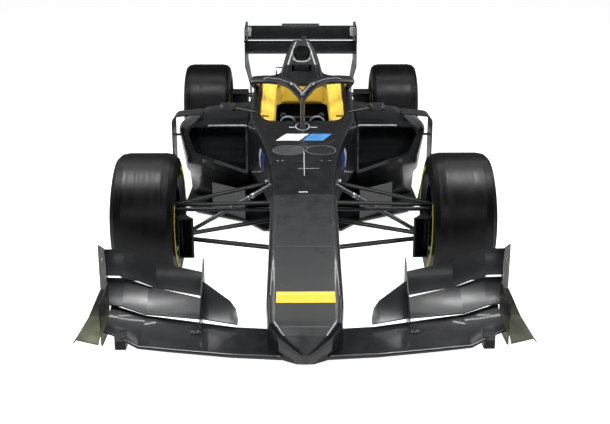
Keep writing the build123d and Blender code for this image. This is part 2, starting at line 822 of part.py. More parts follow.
def rim(width):
    """Cast wheel: barrel with its drop centre, flanges, spokes and hub, inner side at x 0."""
    seat = RIM_RADIUS - SEAT_GAP
    drop = seat - 14
    half = [
        (18, seat + RIM_FLANGE),
        (30, seat + RIM_FLANGE),
        (30, seat),
        (70, seat),
        (90, drop),
    ]
    under = [
        (86, drop - RIM_WALL),
        (66, seat - RIM_WALL),
        (18, seat - RIM_WALL),
    ]
    ring = half + [(width - x, r) for x, r in reversed(half)]
    ring += [(width - x, r) for x, r in reversed(under)] + under
    barrel = revolve(closed_face([(x, r, 0) for x, r in ring], 0.0), Axis.X, 360)
    hub_in, hub_out = hub_faces(width)
    wheel = barrel + x_tube(HUB_RADIUS, hub_in, hub_out)
    tip = seat - RIM_WALL + 3
    spoke_corners = [(hub_in + 6, 40), (hub_out - 4, 40), (width - 34, tip), (width - 60, tip)]
    spoke = extrude(closed_face([(x, r, 0) for x, r in spoke_corners], 0.0), amount=SPOKE_WIDTH / 2, both=True)
    for i in range(SPOKES):
        wheel += spoke.rotate(Axis.X, i * 360.0 / SPOKES)
    return wheel - x_tube(SPINDLE_RADIUS + RUNNING_CLEARANCE, hub_in - 60, hub_out + 10)


def x_tube(radius, x0, x1):
    return Solid.make_cylinder(radius, x1 - x0, Plane(origin=(x0, 0, 0), z_dir=(1, 0, 0)))


def wheel_nut(width):
    """Centre lock nut on the outer face of the hub."""
    hub_out = hub_faces(width)[1]
    return Solid.make_cone(38, 30, 30, Plane(origin=(hub_out + SEAT_GAP, 0, 0), z_dir=(1, 0, 0)))


def road_wheel(width, x_inner, station):
    """Rim and lock nut, which turn as one."""
    assembly = Compound(children=[rim(width), wheel_nut(width)])
    return placed(assembly, x_inner, station)


def placed(shape, x_inner, station):
    return Pos(x_inner, y_at(station), TYRE_RADIUS) * shape


# Front corner, +X side. The upright turns with the wheel about the ball joints.
def front_upright():
    """Upright between the ball joints, with the wheel spindle and the steering arm."""
    low = LOWER_BALL_Z + BALL_RADIUS + SEAT_GAP
    high = UPPER_BALL_Z - BALL_RADIUS - SEAT_GAP
    outline = [(-34, low), (34, low), (44, TYRE_RADIUS), (30, high), (-30, high), (-44, TYRE_RADIUS)]
    post = prism_x(outline, STEER_AXIS_X - 22, UPRIGHT_FACE, 4.0)
    spindle_end = FRONT_INNER + hub_faces(FRONT_TYRE_WIDTH)[1]
    spindle = x_cylinder(SPINDLE_RADIUS, UPRIGHT_FACE, spindle_end, 0, TYRE_RADIUS)
    top = RACK_Z - RACK_RADIUS - PIN_LENGTH
    arm_plan = [
        (STEER_AXIS_X - 12, 0),
        (STEER_AXIS_X + 12, 0),
        (STEER_AXIS_X + 11, RACK_STATION - 14),
        (STEER_AXIS_X - 11, RACK_STATION - 14),
    ]
    arm = prism_z(arm_plan, top - 14, top, 4.0)
    kingpin = Solid.make_cylinder(KINGPIN_RADIUS, high - low, Plane(origin=at(STEER_AXIS_X, 0, low)))
    return post + kingpin + spindle + arm


def front_brake_duct():
    """Drum inside the rim, with a neck and a forward facing scoop."""
    x0, x1 = UPRIGHT_FACE, FRONT_INNER + hub_faces(FRONT_TYRE_WIDTH)[0] - 10
    drum = x_cylinder(DRUM_RADIUS, x0, x1, 0, TYRE_RADIUS)
    drum -= x_cylinder(DRUM_RADIUS - DRUM_WALL, x0 + DRUM_WALL, x1 + 1, 0, TYRE_RADIUS)
    drum -= x_cylinder(SPINDLE_RADIUS, x0 - 1, x1 + 1, 0, TYRE_RADIUS)
    scoop_plan = [(SCOOP_INNER, -190), (626, -190), (626, -94), (612, -94)]
    scoop = prism_z(scoop_plan, SCOOP_BOTTOM, SCOOP_TOP)
    hollow_plan = [(SCOOP_INNER + 7, -195), (621, -195), (621, -99), (613, -99)]
    scoop -= prism_z(hollow_plan, SCOOP_BOTTOM + 5, SCOOP_TOP - 5)
    neck = prism_z([(616, -105), (x0 + 2, -105), (x0 + 2, -62), (616, -62)], 262, 352)
    return drum + scoop + neck


def front_wishbones(body):
    """Upper and lower arms of one side, each a pair of blades that meet at a ball."""
    arms = {}
    for name, height, feet, chord, thickness in (
        ("upper", UPPER_BALL_Z, UPPER_FEET, ARM_CHORD, ARM_THICKNESS),
        ("lower", LOWER_BALL_Z, LOWER_FEET, ARM_CHORD + 6, ARM_THICKNESS + 2),
    ):
        joint = at(STEER_AXIS_X, 0, height)
        arm = Pos(*joint) * Sphere(BALL_RADIUS)
        for foot in feet:
            arm += blade(joint, at(*foot), chord, thickness)
        arms[name] = largest(arm - body)
    return arms


def front_pushrod(body, lower_arm):
    rod = bar(at(STEER_AXIS_X - 50, 0, LOWER_BALL_Z), at(150, 40, 498), PUSHROD_RADIUS)
    return largest(rod - body - lower_arm)


def steering_rack():
    """Rack and track rods, with a pin down to each steering arm."""
    half = STEER_AXIS_X
    rod = x_cylinder(RACK_RADIUS, -half - 8, half + 8, RACK_STATION, RACK_Z)
    for x in (-half, half):
        foot = at(x, RACK_STATION, RACK_Z - RACK_RADIUS - PIN_LENGTH + SEAT_GAP)
        rod += Solid.make_cylinder(8, PIN_LENGTH + RACK_RADIUS, Plane(origin=foot, z_dir=(0, 0, 1)))
    return rod


# Rear corner, +X side. The upright is fixed and the drive shaft turns in it.
def rear_upright():
    outline = [(3075, 240), (3195, 240), (3185, 445), (3085, 445)]
    post = prism_x(outline, REAR_UPRIGHT_X, REAR_UPRIGHT_X + 50, 14.0)
    face = REAR_UPRIGHT_X + 50
    drum_end = REAR_INNER + hub_faces(REAR_TYRE_WIDTH)[0] - 10
    drum = x_cylinder(DRUM_RADIUS, face, drum_end, WHEELBASE, TYRE_RADIUS)
    drum -= x_cylinder(DRUM_RADIUS - DRUM_WALL, face + DRUM_WALL, drum_end + 1, WHEELBASE, TYRE_RADIUS)
    bore = x_cylinder(SPINDLE_RADIUS + RUNNING_CLEARANCE, REAR_UPRIGHT_X - 1, drum_end + 2, WHEELBASE, TYRE_RADIUS)
    return post + drum - bore


def drive_shaft():
    """Shaft from the gearbox boss, with the stub axle that carries the wheel."""
    inner = DRIVE_BOSS_X + RUNNING_CLEARANCE
    shaft = x_cylinder(SHAFT_RADIUS, inner, REAR_UPRIGHT_X, WHEELBASE, TYRE_RADIUS)
    stub_end = REAR_INNER + hub_faces(REAR_TYRE_WIDTH)[1]
    stub = x_cylinder(SPINDLE_RADIUS, REAR_UPRIGHT_X, stub_end, WHEELBASE, TYRE_RADIUS)
    cup = x_cylinder(DRIVE_BOSS_RADIUS - 4, inner, inner + 60, WHEELBASE, TYRE_RADIUS)
    return shaft + stub + cup


def rear_wishbones(casing, upright):
    arms = {}
    for name, height in (("upper", REAR_UPPER_Z), ("lower", REAR_LOWER_Z)):
        joint = at(REAR_UPRIGHT_X + REAR_ARM_SEAT, WHEELBASE, height)
        arm = blade(joint, at(*REAR_FEET[f"{name}_front"]), ARM_CHORD, ARM_THICKNESS)
        arm += blade(joint, at(*REAR_FEET[f"{name}_rear"]), ARM_CHORD, ARM_THICKNESS)
        arms[name] = largest(arm - casing - upright)
    return arms


def rear_pushrod_ends(side):
    """Ends of the rear pushrod's centre line: in the lower arm, and in the gearbox."""
    outer = at((REAR_UPRIGHT_X - 40) * side, WHEELBASE - 24, REAR_LOWER_Z)
    return outer, at(90 * side, 2900, 420)


def rear_pushrod(casing, lower_arm):
    rod = bar(*rear_pushrod_ends(1), PUSHROD_RADIUS)
    return largest(rod - casing - lower_arm)


# Rear wing
def rear_endplate(floor_tail):
    t = REAR_PLATE_THICKNESS
    # Columns: station, z, corner radius
    outline = [
        (3430, 595, 2),
        (3425, 900, 20),
        (3450, 915, 14),
        (3690, 953, 20),
        (3925, 925, 14),
        (3925, 595, 10),
    ]
    upper = prism_x(
        [(s, z) for s, z, _ in outline], WING_HALF_SPAN - t, WING_HALF_SPAN, [float(r) for _, _, r in outline]
    )
    faces = []
    # Columns: outer x, z, front station, rear station
    for x, z, front, rear in (
        (WING_HALF_SPAN, 600, 3430, 3925),
        (436, 450, 3440, 3760),
        (430, 120, 3400, 3495),
    ):
        corners = [(x - t, front), (x, front), (x, rear), (x - t, rear)]
        faces.append(closed_face([at(cx, cs, z) for cx, cs in corners], [1.0] * 4))
    return upper + loft(faces, ruled=True) - floor_tail


def rear_main_plane():
    inside = WING_HALF_SPAN - REAR_PLATE_THICKNESS
    return wing([(x, (3480, 708), (3702, 772), 24, 22) for x in (-inside, inside)])


def rear_flap():
    """Opening flap of the rear wing, on pins near its trailing edge."""
    plate_face = WING_HALF_SPAN - REAR_PLATE_THICKNESS
    inside = plate_face - FLAP_SIDE_GAP
    flap = wing([(x, (3700, 797), (3880, 897), 14, 14) for x in (-inside, inside)])
    tab = prism_x([(3862, 884), (3876, 894), (3884, 916), (3878, 916)], -TAB_HALF_WIDTH, TAB_HALF_WIDTH)
    pins = x_cylinder(5, -plate_face + RUNNING_CLEARANCE, plate_face - RUNNING_CLEARANCE, *FLAP_PIVOT)
    return flap + tab + pins


def wing_pylons(carriers):
    """Two thin plates from the gearbox and crash structure up to the main plane."""
    outline = [(3300, 380), (3440, 380), (3560, 640), (3640, 740), (3560, 740), (3460, 640)]
    pylon = prism_x(outline, PYLON_X - PYLON_THICKNESS / 2, PYLON_X + PYLON_THICKNESS / 2)
    for carrier in carriers:
        pylon -= carrier
    return pair(largest(pylon))


ACTUATOR_X = 25.0


def flap_actuator(main):
    """Housing of the flap's actuator on a short post over the main plane."""
    outline = [(3470, 800), (3480, 850), (3560, 880), (3640, 880), (3650, 812), (3630, 800)]
    pod = prism_x(outline, ACTUATOR_X - 16, ACTUATOR_X + 16, 6.0)
    foot = [(3540, 690), (3600, 690), (3600, 805), (3530, 805)]
    post = prism_x(foot, ACTUATOR_X - 6, ACTUATOR_X + 6)
    return largest(pod + post - main)


def mirror_unit(tub):
    """Rear view mirror on a flat stalk."""
    # Columns: station, lowest x, highest x, bottom z, top z, corner radius
    rows = [
        (1000, 425, 485, 692, 716, 10),
        (1030, 402, 503, 682, 727, 16),
        (1075, 402, 503, 682, 727, 16),
    ]
    sections = []
    for station, x0, x1, z0, z1, radius in rows:
        corners = [(x0, z0), (x1, z0), (x1, z1), (x0, z1)]
        sections.append(closed_face([at(x, station, z) for x, z in corners], [float(radius)] * 4))
    housing = loft(sections, ruled=True)
    stalk = blade(at(415, 1050, 700), at(280, 1080, 668), 36, 9)
    return largest(housing + stalk - tub)


def pod_vane(pod):
    """Turning vane ahead of the side pod: a post from the floor's edge, bent over to the pod's shoulder."""
    x0, x1 = FLOOR_HALF_WIDTH + 46, FLOOR_HALF_WIDTH + 53
    # Columns: x, z, corner radius
    corners = [
        (FLOOR_HALF_WIDTH - 5, FLOOR_TOP, 1),
        (FLOOR_HALF_WIDTH, FLOOR_TOP, 1),
        (x1, 330, 60),
        (x1, 642, 44),
        (618, 662, 14),
        (616, 560, 1),
        (622, 560, 1),
        (624, 655, 8),
        (x0, 636, 38),
        (x0, 330, 60),
    ]
    section = closed_face([at(x, VANE_FRONT, z) for x, z, _ in corners], [float(r) for _, _, r in corners])
    vane = extrude(section, amount=VANE_CHORD * STRETCH, dir=(0, 1, 0))
    rear = VANE_FRONT + VANE_CHORD
    stay = prism_z([(700, rear - 30), (x0 + 2, rear - 30), (x0 + 2, rear - 8), (700, rear - 8)], 492, 502)
    return vane + stay - pod


def bargeboard(tub):
    """Upright vane on the floor beside the survival cell."""
    return prism_z([(342, 830), (348, 828), (560, 1010), (556, 1014)], FLOOR_TOP, 240, [1.0] * 4) - tub


def aerial():
    """Short antenna beside the air box."""
    return Solid.make_cone(7, 4, 55, Plane(origin=at(-174, 1860, tub_top(1870) + SEAT_GAP), z_dir=(0, 0, 1)))


def both_sides(name, shape):
    return {f"{name}_left": shape, f"{name}_right": mirrored(shape)}


def pair(shape):
    """Two like pieces of the two sides in one node."""
    return Compound(children=[shape, mirrored(shape)])


def front_end(nose, tub):
    """Front wing, suspension and wheels."""
    body = nose + tub
    main = main_plane(nose)
    arms = front_wishbones(body)
    front = placed(tyre(FRONT_TYRE_WIDTH), FRONT_INNER, 0)
    shapes = {
        "front_wing_main_plane": main,
        "front_wing_fences": pair(front_fence(main)),
        "front_upper_wishbones": pair(arms["upper"]),
        "front_lower_wishbones": pair(arms["lower"]),
        "front_pushrods": pair(front_pushrod(body, arms["lower"])),
        "steering_rack": steering_rack(),
    }
    shapes |= both_sides("front_wing_flaps", front_flaps())
    shapes |= both_sides("front_wing_endplate", front_endplate())
    shapes |= both_sides("front_upright", front_upright())
    shapes |= both_sides("front_brake_duct", front_brake_duct())
    shapes |= both_sides("front_tyre", front)
    shapes |= both_sides("front_wheel", road_wheel(FRONT_TYRE_WIDTH, FRONT_INNER, 0))
    return shapes


def middle(tub):
    """Bodywork, cockpit and floor."""
    pod = side_pod()
    shapes = {
        "roll_hoop": roll_hoop(),
        "engine_cover": engine_cover(),
        "radiators": pair(radiator()),
        "floor": floor_panel(),
        "plank": plank(),
        "halo": halo(tub),
        "head_surround": head_surround(),
        "seat": seat(),
        "steering_wheel": steering_wheel(),
        "steering_column": steering_column(),
        "column_bracket": column_bracket(tub),
        "mirrors": pair(mirror_unit(tub)),
        "pod_vanes": pair(pod_vane(pod)),
        "bargeboards": pair(bargeboard(tub)),
        "aerial": aerial(),
    }
    return shapes | both_sides("side_pod", pod)


def rear_end():
    """Engine, gearbox, rear suspension, wheels and rear wing."""
    casing, upright, tail = gearbox(), rear_upright(), diffuser()
    crash, main = crash_structure(), rear_main_plane()
    arms = rear_wishbones(casing, upright)
    shapes = {
        "engine_block": engine_block(),
        "gearbox": casing,
        "crash_structure": crash,
        "rain_light": rain_light(),
        "exhaust": exhaust(casing),
        "diffuser": tail,
        "rear_upper_wishbones": pair(arms["upper"]),
        "rear_lower_wishbones": pair(arms["lower"]),
        "rear_pushrods": pair(rear_pushrod(casing, arms["lower"])),
        "rear_uprights": pair(upright),
        "rear_wing_main_plane": main,
        "rear_wing_flap": rear_flap(),
        "rear_wing_pylons": wing_pylons([casing, crash, main]),
        "flap_actuator": flap_actuator(main),
    }
    shapes |= both_sides("rear_wing_endplate", rear_endplate(tail))
    shapes |= both_sides("drive_shaft", drive_shaft())
    shapes |= both_sides("rear_tyre", placed(tyre(REAR_TYRE_WIDTH), REAR_INNER, WHEELBASE))
    shapes |= both_sides("rear_wheel", road_wheel(REAR_TYRE_WIDTH, REAR_INNER, WHEELBASE))
    return shapes


def main():
    os.makedirs("parts", exist_ok=True)
    nose, tub = nose_cone(), survival_cell()
    shapes = {"nose_cone": nose, "survival_cell": tub}
    shapes |= front_end(nose, tub) | middle(tub) | rear_end()
    for name, shape in shapes.items():
        export_step(shape, f"parts/{name}.step")


main()
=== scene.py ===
# %% [markdown]
# # An open wheel racing car, dressed in Blender
# The solid model of the car is already in its place, in metres. This lesson gives each part the
# finish that it has on the real car, and adds the pieces that are too thin or too small for the
# solid model: bands, covers, fasteners, sidewall rings, belts and buttons.

# %% The frame
import bpy
import math
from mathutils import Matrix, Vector


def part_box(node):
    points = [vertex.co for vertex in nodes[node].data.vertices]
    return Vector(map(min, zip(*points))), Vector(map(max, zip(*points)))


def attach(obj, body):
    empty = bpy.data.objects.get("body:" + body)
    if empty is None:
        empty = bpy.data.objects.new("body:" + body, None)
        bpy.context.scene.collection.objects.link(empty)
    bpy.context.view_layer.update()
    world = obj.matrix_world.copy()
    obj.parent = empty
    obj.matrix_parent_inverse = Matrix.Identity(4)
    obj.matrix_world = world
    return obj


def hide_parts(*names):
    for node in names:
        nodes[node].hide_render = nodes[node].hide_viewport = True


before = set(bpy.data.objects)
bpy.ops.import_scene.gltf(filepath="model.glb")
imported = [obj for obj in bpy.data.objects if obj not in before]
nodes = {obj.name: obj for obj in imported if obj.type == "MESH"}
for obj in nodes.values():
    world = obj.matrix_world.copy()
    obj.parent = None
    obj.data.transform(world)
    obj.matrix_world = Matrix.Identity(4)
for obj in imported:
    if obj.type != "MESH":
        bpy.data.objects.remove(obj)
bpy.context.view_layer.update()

# %% [markdown]
# Places along the car are given as stations: millimetres behind the front axle. One small function
# turns a station into a Y in metres, and another turns a web colour into Blender's linear one.

# %% Places and colours
FRONT_AXLE = -1.323


def place(x, station, z):
    return Vector((x / 1000, FRONT_AXLE + station / 1000, z / 1000))


def linear(code):
    channels = [int(code[i : i + 2], 16) / 255 for i in (1, 3, 5)]
    return (*[c / 12.92 if c <= 0.04045 else ((c + 0.055) / 1.055) ** 2.4 for c in channels], 1.0)


print("front axle at", place(0, 0, 330))

# %% [markdown]
# The camera stands six metres in front of the car's middle, 1.8 m above the floor, and looks down by
# 17 degrees. A long lens keeps the nose from swelling.

# %% Camera
bpy.ops.object.camera_add(location=(-0.0302, -6.0505, 1.8008), rotation=(1.273880, 0, -0.008115))
camera = bpy.context.object
camera.data.lens = 56.48
camera.data.sensor_width = 36.0
bpy.context.scene.camera = camera
print("lens", camera.data.lens)

# %% [markdown]
# The studio looks white, but the car is black and glossy, so what it mirrors matters more than what
# falls on it. The background is therefore built twice: rays from the camera see white, and all other
# rays meet a dim wall under a darker ceiling. Two long narrow strips draw the bright lines along the
# edges of the nose, two boxes over the front wing light its flaps, and a weak box fills the front.


# %% Studio
def area_light(name, where, target, width, depth, power):
    """A soft box of width by depth metres that faces its target."""
    bpy.ops.object.light_add(type="AREA", location=where)
    lamp = bpy.context.object
    lamp.name = name
    lamp.data.shape = "RECTANGLE"
    lamp.data.size = width
    lamp.data.size_y = depth
    lamp.data.energy = power
    lamp.rotation_euler = (Vector(target) - Vector(where)).to_track_quat("-Z", "Y").to_euler()


def add_node(tree, kind, links=(), **settings):
    """Adds a node, sets its properties and inputs, and links inputs to the sockets given."""
    node = tree.nodes.new(kind)
    for key, value in settings.items():
        if hasattr(node, key):
            setattr(node, key, value)
        else:
            node.inputs[key.replace("_", " ")].default_value = value
    for socket, source in dict(links).items():
        tree.links.new(source, node.inputs[socket])
    return node


# The colour sockets of a mix node, by number.
MIX_FROM = 6
MIX_TO = 7
MIXED = 2

for side, sign in (("left", 1), ("right", -1)):
    area_light(f"{side} strip", (sign * 3.0, 2.0, 4.3), (0, 1.6, 0.3), 0.2, 12.0, 95)
    area_light(f"{side} key box", (sign * 2.0, -1.5, 5.0), (sign * 0.8, -2.3, 0.3), 1.7, 1.8, 190)
area_light("front fill", (0, -8.5, 3.6), (0, -1.0, 0.2), 5.0, 0.8, 60)
world = bpy.data.worlds.new("studio")
bpy.context.scene.world = world
world.use_nodes = True
sky = world.node_tree
sky.nodes.clear()
where = add_node(sky, "ShaderNodeTexCoord")
split = add_node(sky, "ShaderNodeSeparateXYZ", {0: where.outputs["Generated"]})
ramp = add_node(sky, "ShaderNodeValToRGB", {0: split.outputs["Z"]})
ramp.color_ramp.elements[0].position = 0.02
ramp.color_ramp.elements[0].color = linear("#767676")
ramp.color_ramp.elements[1].position = 0.30
ramp.color_ramp.elements[1].color = linear("#363638")
seen = add_node(sky, "ShaderNodeLightPath")
mixed = {"Factor": seen.outputs["Is Camera Ray"], MIX_FROM: ramp.outputs["Color"]}
backdrop = add_node(sky, "ShaderNodeMix", mixed, data_type="RGBA")
backdrop.inputs[MIX_TO].default_value = linear("#ffffff")
glow = add_node(sky, "ShaderNodeBackground", {"Color": backdrop.outputs[MIXED]}, Strength=1.0)
add_node(sky, "ShaderNodeOutputWorld", {"Surface": glow.outputs["Background"]})
bpy.context.scene.view_settings.view_transform = "Standard"


# %% [markdown]
# ## Finishes
# Each finish starts from one shader. A small function makes the material with its steady values,
# and others add noise, ramps and bumps to it, where the real surface has a pattern.


# %% A plain finish to build on
def finish(name, colour, roughness, **settings):
    """A material with steady values."""
    material = bpy.data.materials.new(name)
    material.use_nodes = True
    shader = material.node_tree.nodes["Principled BSDF"]
    shader.inputs["Base Color"].default_value = linear(colour)
    shader.inputs["Roughness"].default_value = roughness
    for key, value in settings.items():
        shader.inputs[key.replace("_", " ")].default_value = value
    return material


def parts_of(material):
    """A material's node tree and its shader."""
    return material.node_tree, material.node_tree.nodes["Principled BSDF"]


def object_place(tree, scale=(1, 1, 1)):
    """Object coordinates in metres, scaled per axis."""
    source = add_node(tree, "ShaderNodeTexCoord")
    mapping = add_node(tree, "ShaderNodeMapping", {"Vector": source.outputs["Object"]})
    mapping.inputs["Scale"].default_value = scale
    return mapping.outputs["Vector"]


def grain(tree, size, detail=3.0, scale=(1, 1, 1)):
    """Soft noise whose lumps are about size metres across."""
    noise = add_node(tree, "ShaderNodeTexNoise", {"Vector": object_place(tree, scale)})
    noise.inputs["Scale"].default_value = 1.0 / size
    noise.inputs["Detail"].default_value = detail
    return noise.outputs["Fac"]


def steps(tree, factor, low, high):
    """A ramp from one colour to another, each with its position."""
    scale = add_node(tree, "ShaderNodeValToRGB", {"Fac": factor})
    for element, (position, colour) in zip(scale.color_ramp.elements, (low, high)):
        element.position = position
        element.color = linear(colour)
    return scale.outputs["Color"]


def spread(tree, factor, low, high):
    """Maps a factor of 0.3 to 0.7 to a range of numbers."""
    span = add_node(tree, "ShaderNodeMapRange", {"Value": factor})
    for key, value in (("From Min", 0.3), ("From Max", 0.7), ("To Min", low), ("To Max", high)):
        span.inputs[key].default_value = value
    return span.outputs["Result"]


def tint(tree, shader, factor, low, high):
    """Colours a shader by a ramp."""
    tree.links.new(steps(tree, factor, low, high), shader.inputs["Base Color"])


def roughen(tree, shader, factor, low, high):
    """Lets a shader's roughness vary with a factor."""
    tree.links.new(spread(tree, factor, low, high), shader.inputs["Roughness"])


def rough_bump(tree, shader, height, strength, distance):
    """Raises a shader's surface by distance metres where the height is 1."""
    bump = add_node(tree, "ShaderNodeBump", {"Height": height})
    bump.inputs["Strength"].default_value = strength
    bump.inputs["Distance"].default_value = distance
    tree.links.new(bump.outputs["Normal"], shader.inputs["Normal"])


print("finish helpers ready")


# %% [markdown]
# **Carbon fibre twill under clear lacquer.** The cloth is woven two over, two under, from tows 2 mm
# wide, so light and dark squares climb in diagonal steps. Two millimetres can't be seen from six
# metres, so the squares are drawn 5 to 7 mm wide. On the top X and Y run along the cloth, on the
# flanks Z and Y do, so X plus Z serves for both. The lacquer is the shader's coat.


# %% Twill
def twill(tree, tow):
    """A mask of 0 and 1 that steps diagonally like a two by two twill."""
    split = add_node(tree, "ShaderNodeSeparateXYZ", {0: object_place(tree, (1 / tow,) * 3)})
    across = add_node(tree, "ShaderNodeMath", {0: split.outputs["X"], 1: split.outputs["Z"]}, operation="ADD")
    across = add_node(tree, "ShaderNodeMath", {0: across.outputs[0]}, operation="FLOOR")
    along = add_node(tree, "ShaderNodeMath", {0: split.outputs["Y"]}, operation="FLOOR")
    total = add_node(tree, "ShaderNodeMath", {0: across.outputs[0], 1: along.outputs[0]}, operation="ADD")
    turn = add_node(tree, "ShaderNodeMath", {0: total.outputs[0]}, operation="FLOORED_MODULO")
    turn.inputs[1].default_value = 4.0
    mask = add_node(tree, "ShaderNodeMath", {0: turn.outputs[0]}, operation="LESS_THAN")
    mask.inputs[1].default_value = 2.0
    return mask.outputs[0]


def carbon(name, dark, light, roughness, coat, tow=0.007, gloss=0.06):
    """Twill in two shades, cloudy over half a metre, with a faint relief of the weave."""
    material = finish(name, dark, roughness, Coat_Weight=coat, Coat_Roughness=gloss, IOR=1.5)
    tree, shader = parts_of(material)
    weave = twill(tree, tow)
    cloth = steps(tree, weave, (0.0, dark), (1.0, light))
    patches = grain(tree, 0.5, 2.0)
    shade = add_node(tree, "ShaderNodeMix", data_type="RGBA", blend_type="MULTIPLY")
    shade.inputs["Factor"].default_value = 0.35
    tree.links.new(cloth, shade.inputs[MIX_FROM])
    tree.links.new(steps(tree, patches, (0.3, "#9a9a9a"), (0.7, "#ffffff")), shade.inputs[MIX_TO])
    tree.links.new(shade.outputs[MIXED], shader.inputs["Base Color"])
    roughen(tree, shader, grain(tree, 0.06), roughness - 0.06, roughness + 0.08)
    rough_bump(tree, shader, weave, 0.03, 0.0002)
    return material


lacquered_carbon = carbon("lacquered carbon twill", "#161719", "#1b1c1f", 0.33, 0.65, 0.005)
satin_carbon = carbon("satin carbon twill", "#232427", "#28292c", 0.38, 0.4, 0.006, 0.26)
dark_carbon = carbon("bare carbon inside the cockpit", "#0b0b0d", "#121316", 0.5, 0.1)
print("carbon", lacquered_carbon.name, satin_carbon.name, dark_carbon.name)

# %% [markdown]
# ** Olive tinted lacquer on the endplates.** The resin in the outer panels has an olive cast, uneven
# where it is thicker. Above the height of the wing's planes a painted shade darkens it to near black.

# %% Olive endplates
olive_carbon_and_painted_shade = finish("olive tinted carbon laminate and painted shade", "#363b2d", 0.5, Specular_IOR_Level=0.2)
tree, shader = parts_of(olive_carbon_and_painted_shade)
cloud = grain(tree, 0.12, 4.0)
height = add_node(tree, "ShaderNodeSeparateXYZ", {0: object_place(tree)})
# Painted shade: the colour turns dark above 0.17 to 0.24 m, where the upper plate lies in shadow.
painted_shade_above_planes = add_node(tree, "ShaderNodeMapRange", {"Value": height.outputs["Z"]})
painted_shade_above_planes.inputs["From Min"].default_value = 0.17
painted_shade_above_planes.inputs["From Max"].default_value = 0.24
olive = add_node(tree, "ShaderNodeMix", data_type="RGBA")
tree.links.new(painted_shade_above_planes.outputs["Result"], olive.inputs["Factor"])
tree.links.new(steps(tree, cloud, (0.3, "#484b3b"), (0.72, "#7a7e63")), olive.inputs[MIX_FROM])
olive.inputs[MIX_TO].default_value = linear("#1c1d19")
tree.links.new(olive.outputs[MIXED], shader.inputs["Base Color"])
roughen(tree, shader, grain(tree, 0.03), 0.34, 0.5)
rough_bump(tree, shader, twill(tree, 0.007), 0.05, 0.0003)

# %% [markdown]
# **Tyre rubber.** Moulded and then scrubbed on the track: nearly black, with a soft sheen, faint
# rings where the tread has worn and small scuffs across it. The rings are noise that changes fast
# across the tyre's width and hardly at all along the car or upwards.

# %% Rubber
rubber = finish("scrubbed tyre rubber", "#0b0b0c", 0.36, Specular_IOR_Level=0.26)
tree, shader = parts_of(rubber)
scuffs = grain(tree, 0.05, 5.0, (1.0, 0.35, 0.35))
tint(tree, shader, scuffs, (0.35, "#070708"), (0.8, "#121213"))
bands = grain(tree, 0.012, 2.0, (1.0, 0.05, 0.05))
roughen(tree, shader, bands, 0.3, 0.46)
rough_bump(tree, shader, grain(tree, 0.002, 2.0), 0.12, 0.0006)

# %% [markdown]
# **Paints and metals.** The head protection hoop is titanium under a deep purple-black paint. The
# wheels are forged magnesium in a dark blue lacquer. Rods and shafts are steel.

# %% Paints and metals
hoop_paint = finish("purple black paint", "#14121b", 0.36, Coat_Weight=1.0, Coat_Roughness=0.1)
tree, shader = parts_of(hoop_paint)
tint(tree, shader, grain(tree, 0.08), (0.3, "#110f18"), (0.75, "#1a1724"))
rough_bump(tree, shader, grain(tree, 0.004, 2.0), 0.06, 0.0004)

wheel_lacquer = finish("dark blue wheel lacquer", "#14161f", 0.32, Metallic=0.55)
tree, shader = parts_of(wheel_lacquer)
tint(tree, shader, grain(tree, 0.05), (0.3, "#10121a"), (0.75, "#20243a"))
roughen(tree, shader, grain(tree, 0.01), 0.26, 0.42)


def metal(name, dark, light, roughness, size):
    """A metal with cloudy patches about size metres across."""
    material = finish(name, dark, roughness, Metallic=0.95)
    tree, shader = parts_of(material)
    tint(tree, shader, grain(tree, size), (0.3, dark), (0.75, light))
    roughen(tree, shader, grain(tree, size / 4), roughness - 0.06, roughness + 0.1)
    rough_bump(tree, shader, grain(tree, size / 20, 2.0), 0.02, 0.0002)
    return material


bare_steel = metal("ground steel", "#8d9094", "#c3c6ca", 0.28, 0.05)
cast_aluminium = metal("cast aluminium", "#5f6266", "#8a8d90", 0.5, 0.04)
rod_steel = metal("satin steel rod", "#5b5e63", "#777a7f", 0.4, 0.3)
dark_steel = metal("oil blacked steel", "#2b2d30", "#45484c", 0.36, 0.04)
machined_aluminium = metal("machined aluminium", "#a3a6aa", "#d2d4d7", 0.24, 0.03)
print("metals", bare_steel.name, cast_aluminium.name, machined_aluminium.name)


# %% [markdown]
# **Moulded and woven finishes.** The head pads are foam in a yellow polyurethane skin, the seat is
# matt, the plank is laminated wood and the radiators are rows of thin fins.


# %% Skins, plastics and wood
def mottled(name, dark, light, roughness, size, bump=0.15, **settings):
    """A skin, plastic or film whose shade and gloss vary a little."""
    material = finish(name, dark, roughness, **settings)
    tree, shader = parts_of(material)
    tint(tree, shader, grain(tree, size), (0.3, dark), (0.75, light))
    roughen(tree, shader, grain(tree, size / 3), roughness - 0.06, roughness + 0.08)
    rough_bump(tree, shader, grain(tree, size / 12, 2.0), bump, 0.0006)
    return material


pad_skin = mottled("yellow polyurethane skin", "#f6c93a", "#ffe05e", 0.5, 0.06, Sheen_Weight=0.1)
seat_skin = mottled("matt black seat skin", "#0e0e10", "#19191c", 0.7, 0.05)
grey_plastic = mottled("grey moulded plastic", "#6a6c70", "#7f8287", 0.45, 0.03)
